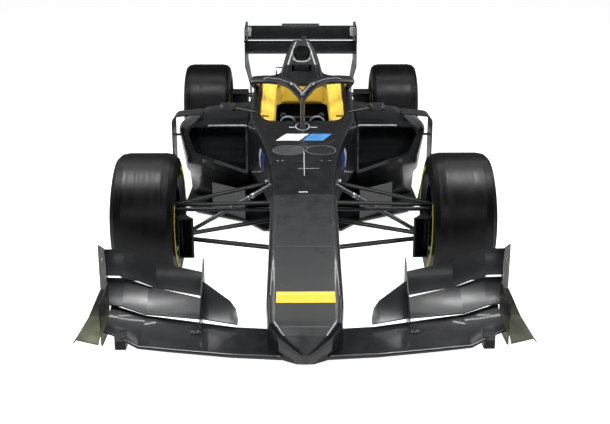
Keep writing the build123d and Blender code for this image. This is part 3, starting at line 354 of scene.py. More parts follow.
# Pale plastic for small parts; as the bead on each pod's duct edge it is a painted highlight.
pale_plastic_and_painted_highlight = mottled("pale grey moulded plastic and painted highlight", "#a9acaf", "#c9cccf", 0.4, 0.03)
lamp_glass = mottled("red lamp lens", "#6e0d10", "#9c1a1a", 0.18, 0.02, 0.05, Coat_Weight=0.8)
plank_wood = mottled("laminated plank wood", "#5b4632", "#7a6247", 0.6, 0.05)
webbing = mottled("woven belt webbing", "#141519", "#24262c", 0.75, 0.004, 0.3)
yellow_film = mottled("yellow vinyl film", "#f4d016", "#fbdd33", 0.32, 0.05, 0.03, Coat_Weight=0.4)
white_film = mottled("white vinyl film", "#d9dcde", "#f0f1f2", 0.32, 0.04, 0.03, Coat_Weight=0.4)
blue_film = mottled("blue vinyl film", "#3a80bd", "#5a9fd6", 0.32, 0.04, 0.03, Coat_Weight=0.4)
navy_film = mottled("navy vinyl film", "#27357d", "#3a4ea3", 0.32, 0.04, 0.03, Coat_Weight=0.4)
tyre_paint = mottled("yellow sidewall ink", "#c9c22a", "#e4de45", 0.5, 0.02, 0.05)
cover_grey = mottled("grey satin cover", "#3b3d40", "#484a4e", 0.38, 0.05, 0.03, Coat_Weight=0.3)
# Black for the pad catches; laid on the keels it is painted shade.
black_and_painted_shade = mottled("black catch and painted shade", "#060607", "#0c0c0d", 0.6, 0.03, 0.02)

mirror_glass = mottled("silvered mirror glass", "#8c9196", "#a4a9ae", 0.08, 0.05, 0.01, Metallic=0.9)
anodised_rim = metal("blue anodised rim edge", "#3d4663", "#6d789c", 0.3, 0.02)
anodised_nut = metal("red anodised aluminium", "#6b1216", "#8f1d20", 0.3, 0.02)

core_fins = finish("radiator fins", "#2c2e31", 0.4, Metallic=0.8)
tree, shader = parts_of(core_fins)
rows = add_node(tree, "ShaderNodeTexWave", {"Vector": object_place(tree)}, bands_direction="Z")
rows.inputs["Scale"].default_value = 40.0
tint(tree, shader, rows.outputs["Fac"], (0.3, "#17181a"), (0.7, "#55585c"))
rough_bump(tree, shader, rows.outputs["Fac"], 0.6, 0.002)
print("materials", len(bpy.data.materials))

# %% [markdown]
# ## Dressing the solid parts
# Each solid part keeps its shape and gets its finish by name. Round parts are shaded smooth up to an
# angle, so their facets don't show while the real edges stay sharp.

# %% Finishes by part
FINISHES = {
    lacquered_carbon: "nose_cone survival_cell roll_hoop engine_cover side_pod_left side_pod_right mirrors "
    "rear_wing_endplate_left rear_wing_endplate_right rear_wing_flap rear_wing_main_plane "
    "front_wing_fences front_wing_main_plane floor diffuser bargeboards pod_vanes crash_structure",
    satin_carbon: "front_wing_flaps_left front_wing_flaps_right rear_wing_pylons",
    olive_carbon_and_painted_shade: "front_wing_endplate_left front_wing_endplate_right",
    rubber: "front_tyre_left front_tyre_right rear_tyre_left rear_tyre_right",
    wheel_lacquer: "front_wheel_left front_wheel_right rear_wheel_left rear_wheel_right",
    hoop_paint: "halo",
    dark_carbon: "front_brake_duct_left front_brake_duct_right front_lower_wishbones "
    "front_upper_wishbones rear_lower_wishbones rear_upper_wishbones rear_pushrods column_bracket "
    "steering_wheel flap_actuator aerial",
    bare_steel: "exhaust steering_column",
    rod_steel: "front_pushrods",
    dark_steel: "drive_shaft_left drive_shaft_right steering_rack",
    cast_aluminium: "front_upright_left front_upright_right rear_uprights engine_block gearbox",
    pad_skin: "head_surround",
    seat_skin: "seat",
    lamp_glass: "rain_light",
    plank_wood: "plank",
    core_fins: "radiators",
}
for material, names in FINISHES.items():
    for name in names.split():
        data = nodes[name].data
        data.materials.clear()
        data.materials.append(material)
bare = [name for name in nodes if not any(name in names.split() for names in FINISHES.values())]
print("parts without a finish", bare)

for names, angle in ((list(nodes), 30), (["halo"], 65)):
    bpy.ops.object.select_all(action="DESELECT")
    for name in names:
        nodes[name].select_set(True)
    bpy.context.view_layer.objects.active = nodes[names[0]]
    bpy.ops.object.shade_smooth_by_angle(angle=math.radians(angle))
bpy.ops.object.select_all(action="DESELECT")

# %% [markdown]
# ## The floor
# A pale floor, large enough that its far edge melts into the wall. Like the wall it glows for the
# camera and much less for the car, which would mirror it.

# %% Floor
GLOW_SEEN = 0.95
GLOW_FELT = 0.12
floor_paint = mottled("pale studio floor", "#d8d8d8", "#dedede", 0.9, 0.8, 0.02)
tree, shader = parts_of(floor_paint)
shader.inputs["Emission Color"].default_value = linear("#ffffff")
seen = add_node(tree, "ShaderNodeLightPath")
glow = add_node(tree, "ShaderNodeMapRange", {"Value": seen.outputs["Is Camera Ray"]})
glow.inputs["To Min"].default_value = GLOW_FELT
glow.inputs["To Max"].default_value = GLOW_SEEN
tree.links.new(glow.outputs["Result"], shader.inputs["Emission Strength"])
bpy.ops.mesh.primitive_grid_add(x_subdivisions=4, y_subdivisions=4, size=80, location=(0, 0, 0))
studio_floor = bpy.context.object
studio_floor.name = "studio_floor"
studio_floor.data.materials.append(floor_paint)

# %% [markdown]
# ## Making small pieces
# Every new piece goes through the same last steps: its place is moved into its mesh, it gets a
# finish, and it is hung on the body that carries it. Films and printed bands are laid on the
# bodywork by projecting a fine grid onto it and giving it a thickness of 0.4 mm.


# %% Helpers for pieces
FILM = 0.0004
FILM_LIFT = 0.0006


def deselect():
    if bpy.context.object and bpy.context.object.mode != "OBJECT":
        bpy.ops.object.mode_set(mode="OBJECT")
    bpy.ops.object.select_all(action="DESELECT")


def pick(piece):
    """Makes a piece the only one that is selected."""
    deselect()
    bpy.context.view_layer.objects.active = piece
    piece.select_set(True)


def modify(piece, kind, **settings):
    """Adds a modifier, sets it and applies it."""
    pick(piece)
    modifier = piece.modifiers.new(kind.lower(), kind)
    for key, value in settings.items():
        setattr(modifier, key, value)
    bpy.ops.object.modifier_apply(modifier=modifier.name)


def settle(piece, name, body, material, smooth=30):
    """The last steps of every piece."""
    pick(piece)
    piece.name = name
    bpy.ops.object.transform_apply(location=True, rotation=True, scale=True)
    bpy.ops.object.shade_smooth_by_angle(angle=math.radians(smooth))
    piece.data.materials.clear()
    piece.data.materials.append(material)
    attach(piece, body)
    deselect()


def lay_on(piece, node, axis, lift=FILM_LIFT, thick=FILM):
    """Projects a flat piece onto a part along an axis and gives it a thickness."""
    modify(
        piece, "SHRINKWRAP", target=nodes[node], wrap_method="PROJECT", use_project_x=axis == "X",
        use_project_y=axis == "Y", use_project_z=axis == "Z", use_negative_direction=True,
        use_positive_direction=True, offset=lift, cull_face="BACK",
    )
    modify(piece, "SOLIDIFY", thickness=thick, offset=0.0)


TURNS = {"X": (0, math.pi / 2, 0), "Y": (math.pi / 2, 0, 0), "Z": (0, 0, 0)}


def patch(
    name, node, centre, size, axis, material,
    body="root", cuts=(16, 8), skew=0.0, lift=FILM_LIFT, thick=FILM,
):
    """A printed patch on a part: a fine grid, slanted by skew and projected onto it."""
    deselect()
    bpy.ops.mesh.primitive_grid_add(
        x_subdivisions=cuts[0], y_subdivisions=cuts[1], size=1, location=centre, rotation=TURNS[axis]
    )
    piece = bpy.context.object
    piece.scale = (size[0], size[1], 1)
    bpy.ops.object.transform_apply(location=True, rotation=True, scale=True)
    for corner in piece.data.vertices:
        corner.co.x += skew * (corner.co.y - centre[1])
    lay_on(piece, node, axis, lift, thick)
    settle(piece, name, body, material)


print("piece helpers ready")

# %% [markdown]
# ## The nose
# A plain yellow band runs across the nose and a small pale dash sits over the front axle. Thin
# joint lines show where the nose, the access panel and the monocoque meet. Each is a flat grid that
# is let down onto the bodywork.

# %% Nose band, dash and joint lines
patch(
    "nose_band", "nose_cone", place(3, -1016, 500), (0.247, 0.066), "Z", yellow_film,
    cuts=(40, 8),
)
patch(
    "nose_dash", "survival_cell", place(-2, -218, 700), (0.045, 0.011), "Z", white_film,
    cuts=(6, 3),
)
JOINT_LINES = {
    "joint_line_long": ("survival_cell", (5, 178), (0.0045, 0.355), pale_plastic_and_painted_highlight),
    "joint_line_front": ("survival_cell", (28, 102), (0.105, 0.004), pale_plastic_and_painted_highlight),
    "joint_line_rear": ("survival_cell", (-14, 202), (0.115, 0.003), cover_grey),
    "nose_seam": ("nose_cone", (4, -1177), (0.190, 0.005), cover_grey),
    "nose_joint": ("nose_cone", (0, -671), (0.250, 0.005), cover_grey),
}
for name, (node, (x, station), size, material) in JOINT_LINES.items():
    patch(name, node, place(x, station, 900), size, "Z", material, cuts=(4, 12))
print("joint lines", len(JOINT_LINES))

# %% [markdown]
# A two colour stripe lies across the tub in front of the cockpit: a slanted white field and a
# slanted blue one. Each flank carries a blue and a white field as well. All of them are plain.

# %% Stripe and flank fields
patch(
    "stripe_white", "survival_cell", place(-58, 575, 900), (0.133, 0.115), "Z", white_film,
    skew=0.51,
)
patch(
    "stripe_blue", "survival_cell", place(82, 575, 900), (0.117, 0.115), "Z", blue_film,
    skew=0.45,
)
FLANK_FIELDS = (("blue", 470, 0.130, navy_film), ("white", 560, 0.045, white_film))
for side, sign in (("left", 1), ("right", -1)):
    for name, station, width, material in FLANK_FIELDS:
        patch(
            f"flank_{name}_{side}", "survival_cell", place(sign * 600, station, 505), (0.105, width), "X",
            material, cuts=(10, 10),
        )
print("stripe and fields made")

# %% [markdown]
# Two oval covers close the openings over the pedals. Seen from the front, the right one is dark
# carbon with a pale outline and the left one is a grey sheet with a paler rim.


# %% Oval covers
def oval(name, node, centre, size, material, rim=0.0, lift=FILM_LIFT):
    """A thin oval sheet laid on the bodywork, or only its rim."""
    deselect()
    bpy.ops.mesh.primitive_circle_add(vertices=64, radius=0.5, fill_type="NGON", location=centre)
    piece = bpy.context.object
    piece.scale = (size[0], size[1], 1)
    bpy.ops.object.transform_apply(location=True, rotation=True, scale=True)
    bpy.ops.object.mode_set(mode="EDIT")
    bpy.ops.mesh.select_all(action="SELECT")
    bpy.ops.mesh.inset(thickness=rim or size[1] / 5)
    if rim:
        bpy.ops.mesh.delete(type="FACE")
    bpy.ops.object.mode_set(mode="OBJECT")
    lay_on(piece, node, "Z", lift)
    settle(piece, name, "root", material)


left_cover = place(-79, 366, 900)
right_cover = place(98, 366, 900)
oval("oval_cover", "survival_cell", left_cover, (0.168, 0.140), cover_grey)
oval("oval_cover_rim", "survival_cell", left_cover, (0.174, 0.146), grey_plastic, 0.003, 2 * FILM_LIFT)
oval("oval_cover_dark", "survival_cell", right_cover, (0.160, 0.138), dark_carbon)
oval("oval_outline", "survival_cell", right_cover, (0.166, 0.144), grey_plastic, 0.004, 2 * FILM_LIFT)
print("covers made")

# %% [markdown]
# ## Screws
# Panels are held by socket head screws. For each set one is modelled, with its socket pressed in,
# and copied to every spot, turned to the surface that it sits on. The copies become one piece.


# %% One screw and its copies
def touch(node, start, towards):
    """The first point of a part that a straight line meets, and the way its surface faces there."""
    found, point, normal, face = nodes[node].ray_cast(Vector(start), Vector(towards))
    if not found:
        raise ValueError(f"nothing of {node} lies that way from {tuple(start)}")
    return point, normal


def screw_shape(radius, height):
    """A round head with a pressed socket, standing on the floor at the origin."""
    deselect()
    bpy.ops.mesh.primitive_cylinder_add(vertices=14, radius=radius, depth=height)
    head = bpy.context.object
    bpy.ops.object.mode_set(mode="EDIT")
    bpy.ops.mesh.select_mode(type="FACE")
    bpy.ops.mesh.select_all(action="DESELECT")
    bpy.ops.object.mode_set(mode="OBJECT")
    max(head.data.polygons, key=lambda face: face.center.z).select = True
    bpy.ops.object.mode_set(mode="EDIT")
    bpy.ops.mesh.inset(thickness=radius * 0.45)
    bpy.ops.mesh.extrude_region_move(TRANSFORM_OT_translate={"value": (0, 0, -height * 0.5)})
    bpy.ops.mesh.select_mode(type="VERT")
    bpy.ops.object.mode_set(mode="OBJECT")
    modify(head, "BEVEL", width=radius * 0.12, segments=2, limit_method="ANGLE")
    return head


def screws(name, body, spots, radius=0.006, height=0.004, material=None):
    """Copies of one screw where straight lines meet parts: (node, start, direction) each."""
    first = screw_shape(radius, height)
    copies = []
    for node, start, towards in spots:
        point, normal = touch(node, start, towards)
        copy = first.copy()
        copy.data = first.data.copy()
        bpy.context.collection.objects.link(copy)
        copy.location = point + normal * height * 0.25
        copy.rotation_euler = normal.to_track_quat("Z", "Y").to_euler()
        copies.append(copy)
    deselect()
    bpy.data.objects.remove(first)
    for copy in copies:
        copy.select_set(True)
    bpy.context.view_layer.objects.active = copies[0]
    bpy.ops.object.transform_apply(location=True, rotation=True, scale=True)
    bpy.ops.object.join()
    settle(bpy.context.object, name, body, material or bare_steel)


def above(node, *spots):
    """From over the car down onto it."""
    return [(node, place(x, station, 1300), (0, 0, -1)) for x, station in spots]


def beside(node, sign, *spots):
    """From outside the car towards its middle."""
    return [(node, place(sign * 1100, station, z), (-sign, 0, 0)) for station, z in spots]


cover_row = above("survival_cell", (-136, 209), (-108, 209), (95, 208), (143, 208))
screws("cover_screws", "root", cover_row, 0.007)
nose_row = above("nose_cone", *[(x, -300) for x in (-108, -40, 40, 108)])
screws("nose_screws", "root", nose_row, 0.005, 0.004, cover_grey)
tub_row = above("survival_cell", (-150, 700), (150, 700))
screws("tub_screws", "root", tub_row, 0.005, 0.004, cover_grey)
PLATE_SCREWS = ((-1010, 235), (-960, 225), (-910, 245), (-870, 330), (-820, 390))
for side, sign in (("left", 1), ("right", -1)):
    plate = beside(f"front_wing_endplate_{side}", sign, *PLATE_SCREWS)
    screws(f"endplate_screws_{side}", "root", plate)
    cover = beside("engine_cover", sign, (2420, 470), (2540, 460), (2660, 450), (2780, 440))
    screws(f"cover_edge_screws_{side}", "root", cover, 0.005)
    edge = above("floor", *[(sign * 735, station) for station in range(1250, 2500, 175)])
    screws(f"floor_screws_{side}", "root", edge, 0.005)
    wing = beside(f"rear_wing_endplate_{side}", sign, (3700, 790), (3780, 800), (3860, 840), (3850, 560))
    screws(f"rear_plate_screws_{side}", "root", wing, 0.006)
print("screws set")

# %% [markdown]
# ## The air box
# A grey lip runs round the engine's inlet at the top of the hoop, with a second, thicker and paler
# lip under it, and a pale bead along the top edge of each pod's duct is a painted highlight of its
# rounded edge. Each starts as a plane with rounded corners. Its outline is let back onto the part's
# front face, turned into a curve, given a round section and turned into a mesh again.


# %% Inlet lips
def rounded_plane(centre, size, radius, turn):
    """A flat plate with rounded corners."""
    deselect()
    bpy.ops.mesh.primitive_plane_add(size=1, location=centre, rotation=turn)
    plate = bpy.context.object
    plate.scale = (size[0], size[1], 1)
    bpy.ops.object.transform_apply(location=False, rotation=False, scale=True)
    bpy.ops.object.mode_set(mode="EDIT")
    bpy.ops.mesh.select_all(action="SELECT")
    bpy.ops.mesh.bevel(offset=radius, segments=7, affect="VERTICES")
    bpy.ops.object.mode_set(mode="OBJECT")
    bpy.ops.object.transform_apply(location=True, rotation=True, scale=True)
    return plate


def keep(piece, test):
    """Deletes every vertex that fails a test of its place."""
    pick(piece)
    bpy.ops.object.mode_set(mode="EDIT")
    bpy.ops.mesh.select_mode(type="VERT")
    bpy.ops.mesh.select_all(action="DESELECT")
    bpy.ops.object.mode_set(mode="OBJECT")
    for corner in piece.data.vertices:
        corner.select = not test(corner.co)
    bpy.ops.object.mode_set(mode="EDIT")
    bpy.ops.mesh.delete(type="VERT")
    bpy.ops.object.mode_set(mode="OBJECT")


def tube_along(piece, radius):
    """Turns a mesh of edges into a round tube."""
    pick(piece)
    bpy.ops.object.convert(target="CURVE")
    piece.data.bevel_depth = radius
    piece.data.bevel_resolution = 4
    piece.data.use_fill_caps = True
    bpy.ops.object.convert(target="MESH")


def lip(name, target, centre, size, corner, radius, material, test=None):
    """A round bead along the outline of a rounded plane, or along the part of it that passes a test."""
    outline = rounded_plane(centre, size, corner, (math.pi / 2, 0, 0))
    bpy.ops.object.mode_set(mode="EDIT")
    bpy.ops.mesh.select_all(action="SELECT")
    bpy.ops.mesh.delete(type="ONLY_FACE")
    bpy.ops.object.mode_set(mode="OBJECT")
    if test:
        keep(outline, test)
    modify(
        outline, "SHRINKWRAP", target=nodes[target], wrap_method="PROJECT", use_project_y=True,
        use_negative_direction=True, use_positive_direction=True, offset=0.001,
    )
    tube_along(outline, radius)
    settle(outline, name, "root", material)


lip("inlet_lip", "roll_hoop", place(0, 1600, 932), (0.120, 0.100), 0.045, 0.0035, cover_grey)
lip(
    "inlet_lower_lip", "roll_hoop", place(0, 1600, 940), (0.140, 0.122), 0.055, 0.006, pale_plastic_and_painted_highlight,
    lambda co: co.z < 0.905,
)
for side, sign in (("left", 1), ("right", -1)):
    # A pale bead on each pod's duct edge: a painted highlight of the rounded edge.
    lip(
        f"duct_painted_highlight_{side}", f"side_pod_{side}", place(sign * 455, 900, 553.5), (0.250, 0.100), 0.020, 0.0045,
        pale_plastic_and_painted_highlight, lambda co: co.z > 0.598,
    )

# %% [markdown]
# ## Head surround
# The U shaped surround is firm foam in a sealed yellow skin. The CAD solid gives its size, but real
# foam has soft edges and faces that swell a little between them. A copy of the solid is drawn in by
# a few millimetres and remeshed into even squares, and its edges are softened.

# %% Padded head surround
SKIN_GAP = 0.004
solid = nodes["head_surround"]
surround = solid.copy()
surround.data = solid.data.copy()
bpy.context.collection.objects.link(surround)
pick(surround)
bpy.ops.object.mode_set(mode="EDIT")
bpy.ops.mesh.select_all(action="SELECT")
bpy.ops.mesh.remove_doubles(threshold=0.0001)
bpy.ops.object.mode_set(mode="OBJECT")
modify(surround, "REMESH", mode="VOXEL", voxel_size=0.006)
modify(surround, "DISPLACE", strength=-SKIN_GAP, mid_level=0.0)
modify(surround, "SMOOTH", factor=0.5, iterations=4)
at_rest = [corner.co.copy() for corner in surround.data.vertices]
print("surround corners", len(at_rest))

# %% [markdown]
# Blender's cloth solver then puffs the skin up with a little air inside. No corner may move more
# than 5 mm from where it was.

# %% Air in the pads
MOST_SWELL = 0.005
pick(surround)
cloth = surround.modifiers.new("cloth", "CLOTH")
cloth.settings.use_pressure = True
cloth.settings.uniform_pressure_force = 4.0
cloth.settings.effector_weights.gravity = 0.0
cloth.settings.tension_stiffness = 40
cloth.settings.bending_stiffness = 5
for frame_number in range(1, 15):
    bpy.context.scene.frame_set(frame_number)
bpy.ops.object.modifier_apply(modifier=cloth.name)
bpy.context.scene.frame_set(1)
for corner, start in zip(surround.data.vertices, at_rest):
    step = corner.co - start
    if step.length > MOST_SWELL:
        corner.co = start + step.normalized() * MOST_SWELL
settle(surround, "head_surround_padding", "root", pad_skin, smooth=60)
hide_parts("head_surround")
print("surround faces", len(surround.data.polygons))

# %% [markdown]
# At the back the foam is capped by a dark shell, so only its lower part shows yellow.

# %% Headrest cap
patch(
    "headrest_face", "head_surround", place(0, 1450, 764), (0.320, 0.026), "Y", dark_carbon,
    cuts=(30, 8), lift=-0.001, thick=0.007,
)
patch(
    "headrest_top", "head_surround", place(0, 1612, 1000), (0.420, 0.100), "Z", dark_carbon,
    cuts=(30, 10), lift=-0.001, thick=0.007,
)
print("headrest capped")

# %% [markdown]
# The pads are held in the cockpit by a quick release at each front end, a small black catch.

# %% Pad catches
for side, sign in (("left", 1), ("right", -1)):
    catch = rounded_plane(place(sign * 224, 1016, 656), (0.040, 0.020), 0.006, (-0.24, 0, sign * 0.35))
    modify(catch, "SOLIDIFY", thickness=0.006, offset=0.0)
    modify(catch, "BEVEL", width=0.001, segments=2)
    settle(catch, f"pad_catch_{side}", "root", black_and_painted_shade)
print("catches made")

# %% [markdown]
# ## Cockpit
# The steering wheel is a flat carbon plate with moulded grips. Pale loops behind the grips are the
# shift and clutch paddles. On the side that faces the seat sit a screen and small push buttons. All
# of them turn with the wheel, so they ride on its body.

# %% Steering wheel details
TILT = math.radians(20)
COLUMN = Vector((0, math.cos(TILT), math.sin(TILT)))
UP_THE_WHEEL = Vector((0, -math.sin(TILT), math.cos(TILT)))


def on_wheel(across, up, out):
    """A place on the wheel: millimetres across, up its face, and out towards the seat."""
    return place(across, 960, 606) + UP_THE_WHEEL * (up / 1000) + COLUMN * (out / 1000)


for side, sign in (("left", 1), ("right", -1)):
    deselect()
    bpy.ops.mesh.primitive_torus_add(
        location=on_wheel(sign * 88, 26, -9), rotation=(math.pi / 2 + TILT, 0, 0), major_radius=0.043,
        minor_radius=0.0065, major_segments=40, minor_segments=10,
    )
    loop = bpy.context.object
    bpy.ops.object.transform_apply(location=True, rotation=True, scale=True)
    bpy.ops.object.mode_set(mode="EDIT")
    bpy.ops.mesh.select_all(action="SELECT")
    bpy.ops.mesh.bisect(plane_co=on_wheel(0, 30, 0), plane_no=UP_THE_WHEEL, clear_inner=True, use_fill=True)
    bpy.ops.object.mode_set(mode="OBJECT")
    settle(loop, f"paddle_loop_{side}", "steering", pale_plastic_and_painted_highlight)
BUTTONS = {
    "buttons_yellow": (yellow_film, [(-70, 40), (70, 40), (-72, -30)]),
    "buttons_blue": (blue_film, [(-70, 18), (70, 18), (72, -30)]),
    "buttons_red": (lamp_glass, [(-84, -4), (84, -4), (-40, -42)]),
    "buttons_white": (pale_plastic_and_painted_highlight, [(-62, -6), (62, -6), (40, -42), (0, -42)]),
}
for name, (material, spots) in BUTTONS.items():
    aims = [("steering_wheel", on_wheel(x, up, 120), -COLUMN) for x, up in spots]
    screws(name, "steering", aims, 0.006, 0.008, material)
glass = rounded_plane(on_wheel(0, 0, 30.4), (0.090, 0.042), 0.004, (TILT - math.pi / 2, 0, 0))
modify(glass, "SOLIDIFY", thickness=0.0008, offset=0.0)
settle(glass, "wheel_screen", "steering", mirror_glass)
print("wheel dressed")

# %% [markdown]
# The seat has webbing straps: two for the shoulders, one across the lap and one between the legs,
# meeting in a round buckle. Each strap is a flat grid laid on the seat and thickened to 2 mm.

# %% Belts
STRAPS = {
    "shoulder_strap_left": (place(52, 1400, 370), (0.052, 0.270), "Y"),
    "shoulder_strap_right": (place(-52, 1400, 370), (0.052, 0.270), "Y"),
    "lap_strap": (place(0, 1440, 400), (0.215, 0.050), "Z"),
    "leg_strap": (place(0, 1340, 400), (0.050, 0.200), "Z"),
}
for name, (centre, size, axis) in STRAPS.items():
    patch(name, "seat", centre, size, axis, webbing, cuts=(8, 24), thick=0.002, lift=0.002)
over_seat = [("seat", place(0, 1440, 700), (0, 0, -1))]
screws("belt_buckle", "root", over_seat, 0.030, 0.018, machined_aluminium)
print("belts", len(STRAPS))

# %% [markdown]
# The mirrors are thin glass plates with rounded corners, set into the back of each housing.

# %% Mirror glass
for side, sign in (("left", 1), ("right", -1)):
    glass = rounded_plane(place(sign * 452, 1075.6, 704), (0.090, 0.036), 0.012, (math.pi / 2, 0, 0))
    modify(glass, "SOLIDIFY", thickness=0.0012, offset=0.0)
    modify(glass, "BEVEL", width=0.0003, segments=2)
    settle(glass, f"mirror_glass_{side}", "root", mirror_glass)
print("mirrors glazed")

# %% [markdown]
# Two small white marks and a pale ring lie at the foot of the hoop's front post, where its bracket
# is bolted through the tub.

# %% Foot of the hoop's post
for name, x in (("post_mark_left", 66), ("post_mark_right", -62)):
    foot = place(x, 752, 900)
    patch(name, "survival_cell", foot, (0.034, 0.012), "Z", white_film, cuts=(4, 2))
oval("post_ring", "survival_cell", place(0, 770, 900), (0.086, 0.150), pale_plastic_and_painted_highlight, 0.006)
print("post foot marked")

# %% [markdown]
# ## Wheels and tyres
# The tyres carry a plain yellow band of two arcs on each sidewall, and the rims' edges are anodised.
# All of it turns with its wheel.


# %% Sidewall bands
BAND_RADIUS = 0.266
BAND_WIDTH = 0.022
ARC_TURN = 0.35
ARC_END_SINE = 0.77
RIM_RADIUS = 0.176
RIM_BEAD = 0.0028
RIM_SINK = 0.019


def sidewall_band(name, body, x, centre, outward):
    """A flat ring on a sidewall, with a gap at its top and its bottom, both turned by ARC_TURN."""
    deselect()
    bpy.ops.mesh.primitive_circle_add(
        vertices=120, radius=BAND_RADIUS, fill_type="NGON", rotation=(0, math.pi / 2, 0),
        location=(x + outward * FILM_LIFT, centre.y, centre.z),
    )
    ring = bpy.context.object
    bpy.ops.object.transform_apply(location=True, rotation=True, scale=True)
    bpy.ops.object.mode_set(mode="EDIT")
    bpy.ops.mesh.select_all(action="SELECT")
    bpy.ops.mesh.inset(thickness=BAND_WIDTH)
    bpy.ops.mesh.delete(type="FACE")
    bpy.ops.object.mode_set(mode="OBJECT")

    def on_an_arc(co):
        angle = math.atan2(co.z - centre.z, centre.y - co.y) + ARC_TURN
        return abs(math.sin(angle)) < ARC_END_SINE

    keep(ring, on_an_arc)
    modify(ring, "SOLIDIFY", thickness=0.0008, offset=0.0)
    settle(ring, name, body, tyre_paint)


def rim_edge(name, body, x, centre):
    """A thin round ring along the edge of a rim."""
    deselect()
    bpy.ops.mesh.primitive_torus_add(
        location=(x, centre.y, centre.z), rotation=(0, math.pi / 2, 0), major_radius=RIM_RADIUS,
        minor_radius=RIM_BEAD, major_segments=96, minor_segments=8,
    )
    settle(bpy.context.object, name, body, anodised_rim, smooth=60)


for end in ("front", "rear"):
    for side, outward in (("left", 1), ("right", -1)):
        low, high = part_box(f"{end}_tyre_{side}")
        centre = (low + high) / 2
        outer, inner = (high.x, low.x) if outward > 0 else (low.x, high.x)
        body = f"wheel_{end}_{side}"
        sidewall_band(f"{end}_band_outer_{side}", body, outer, centre, outward)
        sidewall_band(f"{end}_band_inner_{side}", body, inner, centre, -outward)
        for face, x in (("outer", outer - outward * RIM_SINK), ("inner", inner + outward * RIM_SINK)):
            rim_edge(f"{end}_rim_edge_{face}_{side}", body, x, centre)
print("tyres banded")

# %% [markdown]
# Every wheel is held by one hexagonal lock nut and driven by six pegs round it.


# %% Nuts and pegs
PEG_CIRCLE = 0.044


def hexagon(name, body, x, centre, radius, depth, material):
    """A six sided nut with chamfered edges and a bore, pointing along X."""
    deselect()
    bpy.ops.mesh.primitive_cylinder_add(
        vertices=6, radius=radius, depth=depth, location=(x, centre.y, centre.z),
        rotation=(0, math.pi / 2, 0),
    )
    nut = bpy.context.object
    bpy.ops.object.transform_apply(location=True, rotation=True, scale=True)
    bpy.ops.object.mode_set(mode="EDIT")
    bpy.ops.mesh.select_mode(type="FACE")
    bpy.ops.mesh.select_all(action="DESELECT")
    bpy.ops.object.mode_set(mode="OBJECT")
    for face in nut.data.polygons:
        face.select = len(face.vertices) == 6
    bpy.ops.object.mode_set(mode="EDIT")
    bpy.ops.mesh.inset(thickness=radius * 0.3, use_individual=True)
    bpy.ops.mesh.extrude_faces_move(TRANSFORM_OT_shrink_fatten={"value": -depth * 0.25})
    bpy.ops.mesh.select_mode(type="VERT")
    bpy.ops.object.mode_set(mode="OBJECT")
    modify(nut, "BEVEL", width=radius * 0.06, segments=2, limit_method="ANGLE")
    settle(nut, name, body, material)


for end in ("front", "rear"):
    for side, outward in (("left", 1), ("right", -1)):
        low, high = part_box(f"{end}_wheel_{side}")
        centre = (low + high) / 2
        body = f"wheel_{end}_{side}"
        wheel = f"{end}_wheel_{side}"
        point, normal = touch(wheel, (outward * 1.2, centre.y, centre.z + 0.012), (-outward, 0, 0))
        hexagon(f"{end}_lock_nut_{side}", body, point.x + outward * 0.006, centre, 0.022, 0.016, anodised_nut)
        pegs = []
        for i in range(6):
            angle = math.radians(60 * i + 30)
            y = centre.y + PEG_CIRCLE * math.cos(angle)
            z = centre.z + PEG_CIRCLE * math.sin(angle)
            pegs.append((wheel, (outward * 1.2, y, z), (-outward, 0, 0)))
        screws(f"{end}_drive_pegs_{side}", body, pegs, 0.006, 0.010, machined_aluminium)
print("wheels dressed")

# %% [markdown]
# ## Suspension fittings
# The push rods carry adjusters, the arms are bolted to the tub, a row of screws climbs each flank
# and each fence stands on the main plane in a small bracket. A black sheet on the front face of
# each keel under the main plane is painted shade.

# %% Adjusters, bolts and brackets
for side, sign in (("left", 1), ("right", -1)):
    low_end, high_end = place(sign * 640, 0, 222), place(sign * 150, 40, 498)
    run = high_end - low_end
    for name, share, radius, depth in (("collar", 0.77, 0.013, 0.022), ("lock_ring", 0.73, 0.0145, 0.006)):
        deselect()
        bpy.ops.mesh.primitive_cylinder_add(
            vertices=24, radius=radius, depth=depth, location=low_end + run * share,
            rotation=run.to_track_quat("Z", "Y").to_euler(),
        )
        collar = bpy.context.object
        modify(collar, "BEVEL", width=0.003, segments=3, limit_method="ANGLE")
        settle(collar, f"pushrod_{name}_{side}", "root", machined_aluminium)
    feet = beside("survival_cell", sign, (270, 448), (246, 448), (260, 238), (236, 238))
    screws(f"arm_bolts_{side}", "root", feet, 0.009, 0.012)
    row = beside("survival_cell", sign, (850, 346), (785, 363), (720, 380), (655, 397), (590, 415))
    screws(f"flank_screws_{side}", "root", row, 0.006, 0.003)
    bracket = rounded_plane(place(sign * 462, -1002, 128.4), (0.046, 0.026), 0.008, (0, 0, 0))
    modify(bracket, "SOLIDIFY", thickness=0.005, offset=0.0)
    modify(bracket, "BEVEL", width=0.001, segments=2, limit_method="ANGLE")
    settle(bracket, f"fence_bracket_{side}", "root", cover_grey)
    pins = above("front_wing_main_plane", (sign * 450, -1002), (sign * 476, -1002))
    screws(f"fence_bolts_{side}", "root", pins, 0.006, 0.012)
    # A black sheet on the front face of each keel is painted shade.
    patch(
        f"keel_painted_shade_{side}", "front_wing_main_plane", place(sign * 768, -1150, 107), (0.045, 0.036), "Y",
        black_and_painted_shade, cuts=(3, 3),
    )
print("fittings made")

# %% [markdown]
# In front of each rear upright sits a carbon scoop that feeds the brake. It starts as a box whose
# front face is drawn in and pushed back to open its mouth, and its edges are rounded.

